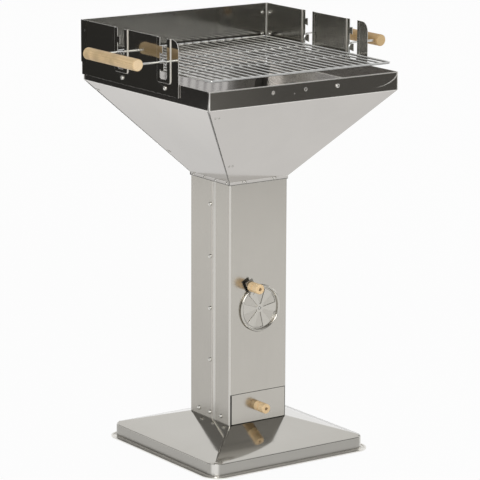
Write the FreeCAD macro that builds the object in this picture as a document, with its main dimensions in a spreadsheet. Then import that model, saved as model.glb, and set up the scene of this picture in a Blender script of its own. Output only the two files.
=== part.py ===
"""Funnel grill: a sheet steel charcoal grill with a square funnel on a square column.

The front faces -Y, the right side is +X and +Z is up. The origin is on the floor under the
middle of the base. Lengths are millimetres and angles are degrees.
"""
import FreeCAD
import Part
import Sketcher
import math
import os
import re

Vector = FreeCAD.Vector

SIZES = {
    # Base tray
    "base_side": 408.5,
    "base_corner": 28,
    "base_edge_height": 31,
    "base_edge_roll": 4.5,
    "base_lip": 12,
    "base_hem": 4,
    "base_sheet": 1.2,
    "plateau_height": 67,
    "plateau_margin": 1.5,
    "plateau_corner": 3,
    # Column of two channels that lap on the side faces
    "column_side": 153,
    "column_height": 545.5,
    "column_sheet": 1,
    "column_bend": 4,
    "seam_edge": 9.5,
    "seam_joggle": 13,
    "seam_lap": 25,
    "seam_screw_inset": 8.7,
    "seam_screw_first": 135,
    "seam_screw_pitch": 117,
    # Foot angles and their screws
    "angle_leg": 22,
    "angle_sheet": 2,
    "angle_front": 68,
    "angle_rear": 66,
    "foot_screw_height": 15,
    "foot_screw_pitch": 42.5,
    "foot_rear_pitch": 34,
    "foot_bolt_pitch": 76,
    "foot_rear_bolt_pitch": 46,
    # Funnel
    "rim_side": 492,
    "rim_height": 40,
    "funnel_rise": 197.5,
    "funnel_sheet": 1,
    "collar_height": 7,
    "corner_gap_top": 4.5,
    "corner_gap_bottom": 1,
    "strip_leg": 20,
    "strip_sheet": 1,
    "strip_rivet_inset": 10,
    "strip_rivet_top": 20,
    "strip_rivet_low": 46,
    "strip_rivet_pitch": 9,
    "throat_rivet_spread": 80,
    "throat_pair_pitch": 8.7,
    "throat_side_pitch": 43,
    # Windscreen on three sides of the rim
    "windscreen_standoff": 1.5,
    "windscreen_sheet": 1,
    "windscreen_height": 121,
    "windscreen_lap": 28,
    "windscreen_front": 134,
    "windscreen_corner": 20,
    "windscreen_bolt_drop": 13.5,
    "rear_bolt_pitch": 170,
    "post_leg": 20,
    "post_sheet": 1.2,
    "post_bolt_inset": 12,
    "post_bolt_edge": 22,
    "rim_hole_pitch": 84,
    "rim_hole_drop": 16,
    # Height slots in the windscreen
    "slot_pitch": 166.5,
    "slot_shift": 3,
    "slot_width": 27,
    "slot_floor": 5,
    "slot_corner": 6.5,
    "emboss_width": 50,
    "emboss_depth": 2,
    "emboss_drop": 2.5,
    "emboss_corner": 6,
    "tooth_rest": 39.5,
    "tooth_height": 17,
    "tooth_pitch": 36.5,
    "tooth_reach": 14.5,
    "tooth_step": 5,
    "tooth_flare": 2,
    "tooth_gap": 0.4,
    # Cooking grate with its hooks and handles
    "grate_side": 468,
    "grate_corner": 6,
    "frame_wire": 5,
    "bar_wire": 4,
    "bar_pitch": 22.3,
    "weld_depth": 1,
    "hook_wire": 4.5,
    "hook_rise": 27.8,
    "hook_bend": 10,
    "hook_low_bend": 4.5,
    "hook_end_gap": 1,
    "dowel_diameter": 26,
    "dowel_length": 198,
    "dowel_reach": 71,
    "dowel_shift": 5.5,
    "dowel_chamfer": 1.5,
    # Charcoal grate
    "coal_side": 280,
    "coal_corner": 34,
    "coal_band": 6,
    "coal_thickness": 5,
    "coal_bar": 5,
    "coal_pitch": 19,
    "coal_cross_pitch": 90,
    # Air vent
    "vent_height": 257,
    "vent_shift": 3,
    "vent_radius": 49.5,
    "vent_bead": 6,
    "vent_sheet": 1,
    "vent_gap": 0.6,
    "vent_slot_inner": 9,
    "vent_slot_outer": 43,
    "vent_slot_angle": 32,
    "vent_hole_angle": 26,
    "vent_first_slot": 27,
    "vent_pivot": 4,
    "lug_tilt": 27,
    "lug_width": 20,
    "lug_sheet": 1.5,
    "lug_foot_inner": 37,
    "lug_step": 45,
    "lug_offset": 5.5,
    "lug_outer": 75,
    "lug_knob_radius": 59.5,
    # Wooden knobs
    "knob_diameter": 22,
    "knob_length": 33,
    "knob_groove": 1.2,
    "knob_groove_width": 2,
    "knob_shoulder": 13,
    "knob_hole": 7,
    "knob_hole_depth": 7,
    "knob_round": 1.5,
    # Ash drawer
    "drawer_front_height": 67.5,
    "drawer_gap": 0.8,
    "drawer_left_gap": 3.5,
    "drawer_stile": 2.7,
    "drawer_sheet": 1,
    "drawer_depth": 119.5,
    "drawer_wall": 40,
    "drawer_side_gap": 0.6,
    "drawer_knob_height": 34,
    "guide_leg": 14,
    "guide_sheet": 1.2,
    "slide_gap": 0.4,
    # Fasteners
    "screw_head": 9,
    "screw_head_height": 3,
    "screw_head_round": 2.1,
    "screw_shank": 5,
    "rivet_head": 5.5,
    "rivet_head_height": 1.6,
    "rivet_head_round": 1.1,
    "rivet_shank": 3,
    "nut_width": 8,
    "nut_height": 3.5,
    "shank_gap": 0.1,
}

SEAM_SCREWS = 4
GRATE_BARS = 20
VENT_SLOTS = 6
# A rounded edge is pressed as two flats that meet at this share of its radius
ROLL_SHARE = 0.3

# Heights and half widths that several pieces share
COLUMN = "(column_side / 2)"
COLUMN_IN = "(column_side / 2 - column_sheet)"
LAP_IN = "(column_side / 2 - 2 * column_sheet)"
COLUMN_TOP = "(plateau_height + column_height)"
FOLD = "(plateau_height + column_height + funnel_rise)"
RIM_TOP = "(plateau_height + column_height + funnel_rise + rim_height)"
RIM = "(rim_side / 2)"
THROAT = "(column_side / 2 + funnel_sheet)"
SCREEN = "(rim_side / 2 + windscreen_standoff + windscreen_sheet)"
SCREEN_IN = "(rim_side / 2 + windscreen_standoff)"
SCREEN_LOW = f"({RIM_TOP} - windscreen_lap)"
SCREEN_TOP = f"({SCREEN_LOW} + windscreen_height)"
SCREW_LINE = "(seam_screw_inset - seam_edge)"
REST_TOOTH = f"({RIM_TOP} + tooth_rest)"
HOOK_SHIFT = "(slot_shift + slot_width / 2 - tooth_reach + tooth_step - tooth_gap - hook_wire / 2)"
HOOK_TOP = f"({REST_TOOTH} + tooth_gap + hook_wire / 2)"
HOOK_LOW = f"({HOOK_TOP} - hook_rise)"
GRATE_LEVEL = f"({HOOK_LOW} + hook_wire / 2 + frame_wire / 2)"
GRATE = "(grate_side / 2)"
RISER = "(grate_side / 2 + frame_wire / 2 + hook_wire / 2)"
DOWEL = f"({SCREEN} + dowel_reach)"
DOWEL_SHIFT = f"({HOOK_SHIFT} + dowel_shift)"
VENT_LEVEL = "(plateau_height + vent_height)"
VENT_FACE = "(column_side / 2 + vent_gap + vent_sheet)"
ANGLE_IN = f"({LAP_IN} - angle_sheet)"
RUNNER = "(plateau_height + angle_sheet)"
TRAY_LOW = f"({RUNNER} + slide_gap)"
TRAY_TOP = f"({TRAY_LOW} + drawer_wall)"
DRAWER_LOW = "(plateau_height + drawer_gap)"
KNOB_LEVEL = f"({DRAWER_LOW} + drawer_knob_height)"

PLANES = {"plan": "XY_Plane", "front": "XZ_Plane", "side": "YZ_Plane"}
LEFT, RIGHT, FRONT, REAR, DOWN = (-1, 0, 0), (1, 0, 0), (0, -1, 0), (0, 1, 0), (0, 0, -1)

doc = FreeCAD.newDocument("funnel_grill")
sheet = doc.addObject("Spreadsheet::Sheet", "sizes")
for row, (alias, size) in enumerate(SIZES.items(), 1):
    sheet.set(f"A{row}", alias)
    sheet.set(f"B{row}", str(size))
    sheet.setAlias(f"B{row}", alias)
doc.recompute()

nodes = []


def formula(text):
    """Write size names as references to the sheet's cells."""
    return re.sub(r"\b[a-z]\w*", lambda m: f"sizes.{m[0]}" if m[0] in SIZES else m[0], str(text))


def number(text):
    """Value of a formula with the sheet's present sizes."""
    return float(sheet.evalExpression(formula(text)))


def keep(thing, label):
    """Give a finished sub-part its label and list it for export."""
    thing.Label = label
    nodes.append(thing)
    return thing


def place(thing, x, y, z, rotation=None, angle=None):
    """Put an object at formulas x, y, z, turned by a rotation whose angle may be a formula."""
    spot = Vector(number(x), number(y), number(z))
    thing.Placement = FreeCAD.Placement(spot, rotation or FreeCAD.Rotation())
    for axis, text in zip("xyz", (x, y, z)):
        thing.setExpression(f"Placement.Base.{axis}", formula(text))
    if angle:
        thing.setExpression("Placement.Rotation.Angle", formula(angle))
    return thing


def facing(direction):
    """Rotation that turns +Z towards a direction."""
    return FreeCAD.Rotation(Vector(0, 0, 1), Vector(*direction))


# Sketches

def add_sketch(body, plane, offset="0"):
    """Sketch on one of the body's origin planes, moved along the plane's normal."""
    sketch = body.newObject("Sketcher::SketchObject", "sketch")
    role = PLANES[plane]
    support = next(f for f in body.Origin.OriginFeatures if f.Role == role)
    sketch.AttachmentSupport = (support, [""])
    sketch.MapMode = "FlatFace"
    sketch.setExpression("AttachmentOffset.Base.z", formula(offset))
    return sketch


def drive(sketch, constraint, text):
    """Add a dimension and bind it to a formula."""
    index = sketch.addConstraint(constraint)
    sketch.setExpression(f"Constraints[{index}]", formula(text))


def pin(sketch, piece, end, x, y):
    """Fix one point of a sketch at formulas x, y from the sketch's origin."""
    drive(sketch, Sketcher.Constraint("DistanceX", -1, 1, piece, end, number(x)), x)
    drive(sketch, Sketcher.Constraint("DistanceY", -1, 1, piece, end, number(y)), y)


def join(sketch, joints, arcs, closed):
    """Lines through the joints; arcs holds {joint: (radius, centre, turns left)}."""
    spots = [Vector(number(x), number(y), 0) for x, y in joints]
    count = len(joints) if closed else len(joints) - 1
    ends = []
    for k in range(count):
        first, last = spots[k], spots[(k + 1) % len(spots)]
        if k not in arcs:
            ends.append((sketch.addGeometry(Part.LineSegment(first, last)), 1, 2))
            continue
        radius, centre, left = arcs[k]
        begin, stop = (first, last) if left else (last, first)
        angles = [math.atan2(p.y - centre.y, p.x - centre.x) for p in (begin, stop)]
        if angles[1] < angles[0]:
            angles[1] += 2 * math.pi
        circle = Part.Circle(centre, Vector(0, 0, 1), number(radius))
        piece = sketch.addGeometry(Part.ArcOfCircle(circle, *angles))
        ends.append((piece, 1, 2) if left else (piece, 2, 1))
    for k, (piece, start, end) in enumerate(ends):
        pin(sketch, piece, start, *joints[k])
        if closed or k + 1 < count:
            after = ends[(k + 1) % count]
            sketch.addConstraint(Sketcher.Constraint("Coincident", piece, end, after[0], after[1]))
        else:
            pin(sketch, piece, end, *joints[-1])
        if k in arcs:
            drive(sketch, Sketcher.Constraint("Radius", piece, number(arcs[k][0])), arcs[k][0])


def heading(first, last):
    """Signs of the step from one point to the next."""
    return [(b > a) - (b < a) for a, b in zip(first, last)]


def trace(sketch, corners, closed=True):
    """Outline through corners (x, y) or, between square edges, (x, y, radius)."""
    spots = [(number(c[0]), number(c[1])) for c in corners]
    joints, arcs = [], {}
    for i, corner in enumerate(corners):
        x, y = corner[:2]
        if len(corner) == 2:
            joints.append((x, y))
            continue
        before = heading(spots[i - 1], spots[i])
        after = heading(spots[i], spots[(i + 1) % len(spots)])
        size = number(corner[2])
        centre = Vector(spots[i][0] + size * (after[0] - before[0]),
                        spots[i][1] + size * (after[1] - before[1]), 0)
        left = before[0] * after[1] - before[1] * after[0] > 0
        arcs[len(joints)] = (corner[2], centre, left)
        joints.append((f"{x} - ({before[0]}) * ({corner[2]})", f"{y} - ({before[1]}) * ({corner[2]})"))
        joints.append((f"{x} + ({after[0]}) * ({corner[2]})", f"{y} + ({after[1]}) * ({corner[2]})"))
    join(sketch, joints, arcs, closed)


def sector(sketch, inner, outer, start, end):
    """Outline of a ring sector about the sketch's origin between two angles."""
    joints = [(f"({radius}) * cos({angle})", f"({radius}) * sin({angle})")
              for radius, angle in ((outer, start), (outer, end), (inner, end), (inner, start))]
    join(sketch, joints, {0: (outer, Vector(), True), 2: (inner, Vector(), False)}, True)


def ring(sketch, x, y, radius):
    """Circle with its centre at formulas x, y."""
    circle = Part.Circle(Vector(number(x), number(y), 0), Vector(0, 0, 1), number(radius))
    piece = sketch.addGeometry(circle)
    pin(sketch, piece, 3, x, y)
    drive(sketch, Sketcher.Constraint("Radius", piece, number(radius)), radius)


def box_corners(x_low, x_high, y_low, y_high, radius=None):
    """Corners of a rectangle, all rounded where a radius is given."""
    corners = [(x_low, y_low), (x_high, y_low), (x_high, y_high), (x_low, y_high)]
    return [corner + (radius,) for corner in corners] if radius else corners


def square_corners(half, radius=None):
    """Corners of a square about the origin."""
    return box_corners(f"-({half})", half, f"-({half})", half, radius)


# Features

def pad(body, sketch, length, reverse=False):
    """Extrude a sketch along its plane's normal, or against it."""
    feature = body.newObject("PartDesign::Pad", "pad")
    feature.Profile = sketch
    feature.setExpression("Length", formula(length))
    feature.Reversed = reverse
    return feature


def pocket(body, sketch, length):
    """Cut along the sketch plane's normal, and make sure that it cuts."""
    doc.recompute()
    before = body.Shape.Volume
    feature = body.newObject("PartDesign::Pocket", "pocket")
    feature.Profile = sketch
    feature.setExpression("Length", formula(length))
    feature.Reversed = True
    doc.recompute()
    if body.Shape.Volume >= before:
        raise RuntimeError(f"pocket in {body.Name} cuts nothing")
    return feature


def outlined(body, plane, offset, corners):
    """Sketch with one outline."""
    sketch = add_sketch(body, plane, offset)
    trace(sketch, corners)
    return sketch


def plate(name, plane, offset, corners, thickness):
    """Body made by one extrusion of an outline."""
    body = doc.addObject("PartDesign::Body", name)
    pad(body, outlined(body, plane, offset, corners), thickness)
    return body


def loft(body, kind, levels):
    """Straight-sided loft through plan outlines given as (height, corners)."""
    sketches = [outlined(body, "plan", height, corners) for height, corners in levels]
    feature = body.newObject(f"PartDesign::{kind}", "loft")
    feature.Profile = sketches[0]
    feature.Sections = sketches[1:]
    feature.Ruled = True
    return feature


def turned(name, profile):
    """Body turned about its own Z axis from a profile of (radius, height)."""
    body = doc.addObject("PartDesign::Body", name)
    sketch = outlined(body, "front", "0", profile)
    feature = body.newObject("PartDesign::Revolution", "turn")
    feature.Profile = sketch
    feature.ReferenceAxis = (sketch, ["V_Axis"])
    feature.Angle = 360
    return body


def repeat(body, feature, axis, count, pitch):
    """Copy a feature along a sketch axis: a count of copies at a pitch."""
    pattern = body.newObject("PartDesign::LinearPattern", "pattern")
    pattern.Originals = [feature]
    pattern.Direction = axis
    pattern.setExpression("Length", formula(f"({count} - 1) * {pitch}"))
    pattern.setExpression("Occurrences", formula(count))
    body.Tip = pattern
    return pattern


def spin(body, feature, role, count):
    """Copy a feature round one of the body's own axes."""
    pattern = body.newObject("PartDesign::PolarPattern", "spin")
    pattern.Originals = [feature]
    pattern.Axis = (next(f for f in body.Origin.OriginFeatures if f.Role == role), [""])
    pattern.Angle = 360
    pattern.Occurrences = count
    body.Tip = pattern
    return pattern


def wire(name, plane, offset, corners, closed, start_plane, start, radius):
    """Round wire along a path of straight runs and bends."""
    body = doc.addObject("PartDesign::Body", name)
    path = add_sketch(body, plane, offset)
    trace(path, corners, closed)
    section = add_sketch(body, start_plane, start[0])
    ring(section, start[1], start[2], radius)
    pipe = body.newObject("PartDesign::AdditivePipe", "pipe")
    pipe.Profile = section
    pipe.Spine = (path, [])
    return body


def group(name, template, places, angle=None):
    """Copies of a template at (x, y, z, direction), as one object."""
    links = []
    for x, y, z, direction in places:
        link = doc.addObject("App::Link", f"{name}_copy")
        link.LinkedObject = template
        links.append(place(link, x, y, z, facing(direction), angle))
    compound = doc.addObject("Part::Compound", name)
    compound.Links = links
    return compound


def cut(base, *tools):
    """Take the tools out of a base object."""
    for tool in tools:
        feature = doc.addObject("Part::Cut", f"{base.Name}_cut")
        feature.Base = base
        feature.Tool = tool
        base = feature
    return base


# Fasteners: the seat of the head is at the origin and the head points along +Z

def headed_pin(name, head, head_height, head_round, shank, length):
    """Round-headed screw or rivet."""
    return turned(name, [
        ("0", f"-({length})"), (f"{shank} / 2", f"-({length})"), (f"{shank} / 2", "0"),
        (f"{head} / 2", "0"), (f"{head} / 2", head_height, head_round), ("0", head_height)])


def drill(name, shank, length):
    """Round tool that clears a shank on both sides of the seat."""
    body = doc.addObject("PartDesign::Body", name)
    sketch = add_sketch(body, "plan", f"-({length})")
    ring(sketch, "0", "0", f"{shank} / 2 + shank_gap")
    pad(body, sketch, f"2 * ({length})")
    return body


def screws(label, places, length, reach):
    """Group of screws and the group of drills for their holes."""
    screw = headed_pin(f"{label}_screw", "screw_head", "screw_head_height", "screw_head_round",
                       "screw_shank", length)
    keep(group(label, screw, places), label)
    return group(f"{label}_holes", drill(f"{label}_drill", "screw_shank", reach), places)


def rivets(label, places, length, reach, angle=None):
    """Group of rivets and the group of drills for their holes."""
    rivet = headed_pin(f"{label}_rivet", "rivet_head", "rivet_head_height", "rivet_head_round",
                       "rivet_shank", length)
    keep(group(label, rivet, places, angle), label)
    return group(f"{label}_holes", drill(f"{label}_drill", "rivet_shank", reach), places, angle)


def collars(label, places, height, outer):
    """Group of round nuts or spacers that stand on (x, y, z) along a direction."""
    inner = "screw_shank / 2 + shank_gap"
    collar = turned(f"{label}_collar", [
        (inner, "0"), (f"{outer} / 2", "0"), (f"{outer} / 2", height), (inner, height)])
    return keep(group(label, collar, places), label)


# Base and foot

def build_base(bolt_holes):
    """Pressed tray: hipped top with a flat plateau, rolled edge, skirt and hemmed lip."""
    half, corner, roll = "base_side / 2", "base_corner", "base_edge_roll"
    edge, top = "base_edge_height", "plateau_height"
    plateau = f"({COLUMN} + plateau_margin)"

    def skirt(inset):
        """Outlines of the skirt and its rolled edge, moved inwards by inset."""
        bevel = f"{roll} * {ROLL_SHARE}"
        steps = [("0", "0"), (f"{edge} - {roll}", "0"), (f"{edge} - {bevel}", bevel), (edge, roll)]
        rings = []
        for height, draw in steps:
            lowered = height if height == "0" else f"{height} - {inset}"
            round_size = f"{corner} - {draw} - {inset}"
            rings.append((lowered, square_corners(f"{half} - {draw} - {inset}", round_size)))
        return rings

    def crown(inset):
        """Outline of the plateau, moved inwards by inset."""
        return (f"{top} - {inset}", square_corners(f"{plateau} - {inset}", "plateau_corner"))

    body = doc.addObject("PartDesign::Body", "base_body")
    loft(body, "AdditiveLoft", skirt("0"))
    # The four slopes meet in sharp hips, which the skirt's round corners cut off
    loft(body, "AdditiveLoft", [
        (edge, square_corners(f"{half} - {roll}", "plateau_corner")), crown("0")])
    trim = outlined(body, "plan", edge, square_corners(f"{half} + base_lip", f"{corner} + base_lip"))
    trace(trim, square_corners(f"{half} - {roll}", f"{corner} - {roll}"))
    pocket(body, trim, f"{top} - {edge}")
    pad(body, outlined(body, "plan", "0", square_corners(f"{half} + base_lip", f"{corner} + base_lip")),
        "base_sheet")
    hem = outlined(body, "plan", "0", square_corners(f"{half} + base_lip", f"{corner} + base_lip"))
    trace(hem, square_corners(f"{half} + base_lip - base_hem", f"{corner} + base_lip - base_hem"))
    pad(body, hem, "2 * base_sheet")
    loft(body, "SubtractiveLoft", skirt("base_sheet") + [crown("base_sheet")])
    keep(cut(body, bolt_holes), "base_tray")


def foot_places():
    """Foot screws through the column walls: three on each side and three at the rear."""
    height = "plateau_height + foot_screw_height"
    steps = [f"{k} * foot_screw_pitch" for k in (-1, 0, 1)]
    left = [(f"-{COLUMN}", f"{SCREW_LINE} + {s}", height, LEFT) for s in steps]
    right = [(COLUMN, f"{SCREW_LINE} + {s}", height, RIGHT) for s in steps]
    rear = [(f"{k} * foot_rear_pitch", COLUMN, height, REAR) for k in (-1, 0, 1)]
    return left + right + rear


def bolt_places():
    """Foot bolts, heads under the plateau, into the flat legs of the angles."""
    low = "plateau_height - base_sheet"
    middle = f"{LAP_IN} - angle_leg / 2"
    spread = "foot_bolt_pitch / 2"
    sides = [(f"{s} * ({middle})", f"{k} * {spread}", low, DOWN) for s in (-1, 1) for k in (-1, 1)]
    behind = f"{COLUMN_IN} - angle_leg / 2"
    rear = [(f"{k} * foot_rear_bolt_pitch / 2", behind, low, DOWN) for k in (-1, 1)]
    return sides + rear


def build_foot_angles(screw_holes, bolt_holes):
    """Steel angles that tie the column to the base; the side ones carry the drawer."""
    low = "plateau_height"
    for side, label in ((-1, "foot_angle_left"), (1, "foot_angle_right")):
        outer, inner = f"{side} * {LAP_IN}", f"{side} * {ANGLE_IN}"
        toe = f"{side} * ({LAP_IN} - angle_leg)"
        body = plate(f"{label}_body", "front", "-angle_rear", [
            (outer, low), (toe, low), (toe, f"{low} + angle_sheet"), (inner, f"{low} + angle_sheet"),
            (inner, f"{low} + angle_leg"), (outer, f"{low} + angle_leg")], "angle_rear + angle_front")
        keep(cut(body, screw_holes, bolt_holes), label)
    wide = f"({LAP_IN} - angle_leg - slide_gap)"
    heel, front = COLUMN_IN, f"{COLUMN_IN} - angle_leg"
    body = plate("foot_angle_rear_body", "side", f"-{wide}", [
        (heel, low), (front, low), (front, f"{low} + angle_sheet"),
        (f"{heel} - angle_sheet", f"{low} + angle_sheet"),
        (f"{heel} - angle_sheet", f"{low} + angle_leg"), (heel, f"{low} + angle_leg")], f"2 * {wide}")
    keep(cut(body, screw_holes, bolt_holes), "foot_angle_rear")


# Column

def seam_places():
    """Screws down the lapped seams on both side faces."""
    heights = [f"plateau_height + seam_screw_first + {k} * seam_screw_pitch" for k in range(SEAM_SCREWS)]
    return [(f"{side} * {COLUMN}", SCREW_LINE, height, (side, 0, 0))
            for side in (-1, 1) for height in heights]


def vent_cutter():
    """Tool for the ring of air holes behind the vent disc."""
    body = doc.addObject("PartDesign::Body", "vent_cutter")
    sketch = add_sketch(body, "front", f"{COLUMN} - 2 * column_sheet")
    middle = f"(vent_first_slot + 180 / {VENT_SLOTS})"
    sector(sketch, "vent_slot_inner", "vent_slot_outer",
           f"{middle} - vent_hole_angle / 2", f"{middle} + vent_hole_angle / 2")
    spin(body, pad(body, sketch, "4 * column_sheet"), "Y_Axis", VENT_SLOTS)
    return place(body, "vent_shift", "0", VENT_LEVEL)


def build_column(seam_holes, foot_holes, throat_holes, pivot_hole):
    """Front channel with joggled flanges, and rear channel that laps over them."""
    start = "seam_edge + seam_joggle"
    tail = "seam_lap - seam_edge"
    bend = "column_bend"
    inner_bend = "column_bend - column_sheet"
    front = plate("column_front_body", "plan", "plateau_height", [
        (f"-{COLUMN}", f"-({start})"), (f"-{COLUMN}", f"-{COLUMN}", bend), (COLUMN, f"-{COLUMN}", bend),
        (COLUMN, f"-({start})"), (COLUMN_IN, "-seam_edge"), (COLUMN_IN, tail), (LAP_IN, tail),
        (LAP_IN, "-seam_edge"), (COLUMN_IN, f"-({start})"), (COLUMN_IN, f"-{COLUMN_IN}", inner_bend),
        (f"-{COLUMN_IN}", f"-{COLUMN_IN}", inner_bend), (f"-{COLUMN_IN}", f"-({start})"),
        (f"-{LAP_IN}", "-seam_edge"), (f"-{LAP_IN}", tail), (f"-{COLUMN_IN}", tail),
        (f"-{COLUMN_IN}", "-seam_edge")], "column_height")
    opening = f"({COLUMN} - drawer_stile)"
    door = plate("drawer_opening", "front", f"{COLUMN} - 4 * column_sheet", box_corners(
        f"-{opening}", opening, "plateau_height - drawer_gap",
        f"{DRAWER_LOW} + drawer_front_height + drawer_gap"), "8 * column_sheet")
    keep(cut(front, door, vent_cutter(), pivot_hole, seam_holes, foot_holes, throat_holes),
         "column_front")
    rear = plate("column_rear_body", "plan", "plateau_height", [
        (f"-{COLUMN}", "-seam_edge"), (f"-{COLUMN_IN}", "-seam_edge"),
        (f"-{COLUMN_IN}", COLUMN_IN, inner_bend), (COLUMN_IN, COLUMN_IN, inner_bend),
        (COLUMN_IN, "-seam_edge"), (COLUMN, "-seam_edge"), (COLUMN, COLUMN, bend),
        (f"-{COLUMN}", COLUMN, bend)], "column_height")
    keep(cut(rear, seam_holes, foot_holes, throat_holes), "column_rear")


# Funnel

def throat_places():
    """Rivets through the collar: pairs at front and rear, single ones on the sides."""
    level = f"{COLUMN_TOP} - collar_height / 2"
    pairs = [f"{k} * throat_rivet_spread / 2 + {j} * throat_pair_pitch / 2"
             for k in (-1, 1) for j in (-1, 1)]
    singles = [f"{k} * throat_side_pitch / 2" for k in (-3, -1, 1, 3)]
    front = [(x, f"-{THROAT}", level, FRONT) for x in pairs]
    rear = [(x, THROAT, level, REAR) for x in pairs]
    sides = [(f"{side} * {THROAT}", y, level, (side, 0, 0)) for side in (-1, 1) for y in singles]
    return front + rear + sides


def slope_out(height):
    """Half width of the funnel's outside at a height."""
    return f"({THROAT} + ({height} - {COLUMN_TOP}) * ({RIM} - {THROAT}) / funnel_rise)"


def strip_places():
    """Pairs of rivets beside one corner of each panel, going round the funnel, square to the slope."""
    run, rise = number(f"{RIM} - {THROAT}"), number("funnel_rise")
    places = []
    for height in (f"({FOLD} - strip_rivet_top)", f"({COLUMN_TOP} + strip_rivet_low)"):
        out = slope_out(height)
        for copy in (0, 1):
            along = f"({out} - strip_rivet_inset - {copy} * strip_rivet_pitch)"
            for face in (-1, 1):
                places.append((f"{face} * {along}", f"{face} * {out}", height, (0, face * rise, -run)))
                places.append((f"{face} * {out}", f"-({face}) * {along}", height, (face * rise, 0, -run)))
    return places


def strip_angle():
    """Angle between straight up and the outward normal of the slope."""
    run = f"({RIM} - {THROAT})"
    return f"acos(-{run} / sqrt({run} ^ 2 + funnel_rise ^ 2))"


def panel_section(side):
    """Section across a panel's sheet: collar, slope and upright rim."""
    outer = [(THROAT, f"{COLUMN_TOP} - collar_height"), (THROAT, COLUMN_TOP), (RIM, FOLD), (RIM, RIM_TOP)]
    inner = [(f"({out} - funnel_sheet)", height) for out, height in reversed(outer)]
    return [(f"{side} * {out}", height) for out, height in outer + inner]


def panel_outline(inset, gap_low, gap_fold):
    """Panel seen square on: its edges stand back from the funnel's corners by an inset and a gap."""
    halves = [(f"({THROAT} - {inset} - {gap_low})", f"{COLUMN_TOP} - collar_height"),
              (f"({THROAT} - {inset} - {gap_low})", COLUMN_TOP),
              (f"({RIM} - {inset} - {gap_fold})", FOLD), (f"({RIM} - {inset})", RIM_TOP)]
    return halves + [(f"-{half}", height) for half, height in reversed(halves)]


def build_funnel(throat_holes, strip_holes, screen_holes, rim_holes):
    """Four sheet panels, each with collar, slope and upright rim; the corners stay open a little."""
    reach = f"({RIM} + funnel_sheet)"
    whole, between = ("0", "0", "0"), ("funnel_sheet", "corner_gap_bottom", "corner_gap_top")
    for name, side, section_plane, outline_plane, edges in (
            ("front", -1, "side", "front", whole), ("rear", 1, "side", "front", whole),
            ("left", -1, "front", "side", between), ("right", 1, "front", "side", between)):
        label = f"funnel_{name}"
        panel = doc.addObject("Part::Common", f"{label}_panel")
        panel.Base = plate(f"{label}_section", section_plane, f"-{reach}", panel_section(side), f"2 * {reach}")
        panel.Tool = plate(f"{label}_outline", outline_plane, f"-{reach}", panel_outline(*edges), f"2 * {reach}")
        extra = [rim_holes] if name == "front" else []
        keep(cut(panel, throat_holes, strip_holes, screen_holes, *extra), label)


def build_strips(strip_holes):
    """Angle strips inside the funnel's four corners, behind the open seams."""
    low, high = f"{COLUMN_TOP} + collar_height", f"{FOLD} - collar_height"
    run = f"({RIM} - {THROAT}) / funnel_rise"
    for face, row in ((-1, "front"), (1, "rear")):
        for side, column in ((-1, "left"), (1, "right")):
            def corner(height):
                """Angle section at a height, against the inside of the panels."""
                out = f"({THROAT} - funnel_sheet + ({height} - {COLUMN_TOP}) * {run})"
                back, toe = f"({out} - strip_sheet)", f"({out} - strip_leg)"
                spots = [(out, out), (toe, out), (toe, back), (back, back), (back, toe), (out, toe)]
                return [(f"{side} * {x}", f"{face} * {y}") for x, y in spots]
            label = f"corner_strip_{row}_{column}"
            body = doc.addObject("PartDesign::Body", f"{label}_body")
            loft(body, "AdditiveLoft", [(low, corner(low)), (high, corner(high))])
            keep(cut(body, strip_holes), label)


# Windscreen

def screen_places():
    """Bolts that hold the windscreen to the rim: below the slots and along the rear."""
    level = f"{RIM_TOP} - windscreen_bolt_drop"
    sides = [(f"{side} * {SCREEN}", f"{k} * slot_pitch / 2", level, (side, 0, 0))
             for side in (-1, 1) for k in (-1, 1)]
    rear = [(f"{k} * rear_bolt_pitch / 2", SCREEN, level, REAR) for k in (-1, 0, 1)]
    return sides + rear


def moved_in(places, distance):
    """The same places, moved against their directions by a distance."""
    return [tuple(f"{text} - ({step}) * ({distance})" for text, step in zip(spot, direction))
            + (direction,) for *spot, direction in places]


def turned_in(places):
    """The same places with the directions reversed."""
    return [(*spot, tuple(-step for step in direction)) for *spot, direction in places]


def post_places():
    """Corner bolts of the windscreen, heads inside, through the walls into the posts."""
    inset = f"({SCREEN_IN} - post_bolt_inset)"
    heights = (f"{SCREEN_TOP} - post_bolt_edge", f"{RIM_TOP} + post_bolt_edge")
    rear = [(f"{side} * {inset}", SCREEN_IN, z, FRONT) for side in (-1, 1) for z in heights]
    sides = [(f"{side} * {SCREEN_IN}", inset, z, (-side, 0, 0)) for side in (-1, 1) for z in heights]
    return rear + sides


def slot_corners(middle):
    """Outline of a height slot: open at the top, with two teeth on its rear edge."""
    front, rear = f"{middle} - slot_width / 2", f"{middle} + slot_width / 2"
    floor, over = f"{RIM_TOP} + slot_floor", f"{SCREEN_TOP} + slot_floor"
    corners = [(front, over), (front, floor, "slot_corner"), (rear, floor, "slot_corner")]
    for reach, top in (("tooth_reach", REST_TOOTH),
                       ("tooth_reach - tooth_step", f"{REST_TOOTH} + tooth_pitch")):
        tip = f"{rear} - ({reach})"
        corners += [(rear, f"{top} - tooth_height + tooth_flare"), (tip, f"{top} - tooth_height"),
                    (tip, top), (rear, f"{top} - tooth_flare")]
    return corners + [(rear, over)]


def emboss_corners(middle, inset, top):
    """Outline of the raised field round a slot."""
    front, rear = f"{middle} - emboss_width / 2 + {inset}", f"{middle} + emboss_width / 2 - {inset}"
    low, bend = f"{RIM_TOP} - emboss_drop + {inset}", f"emboss_corner - {inset}"
    return [(front, top), (front, low, bend), (rear, low, bend), (rear, top)]


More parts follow.
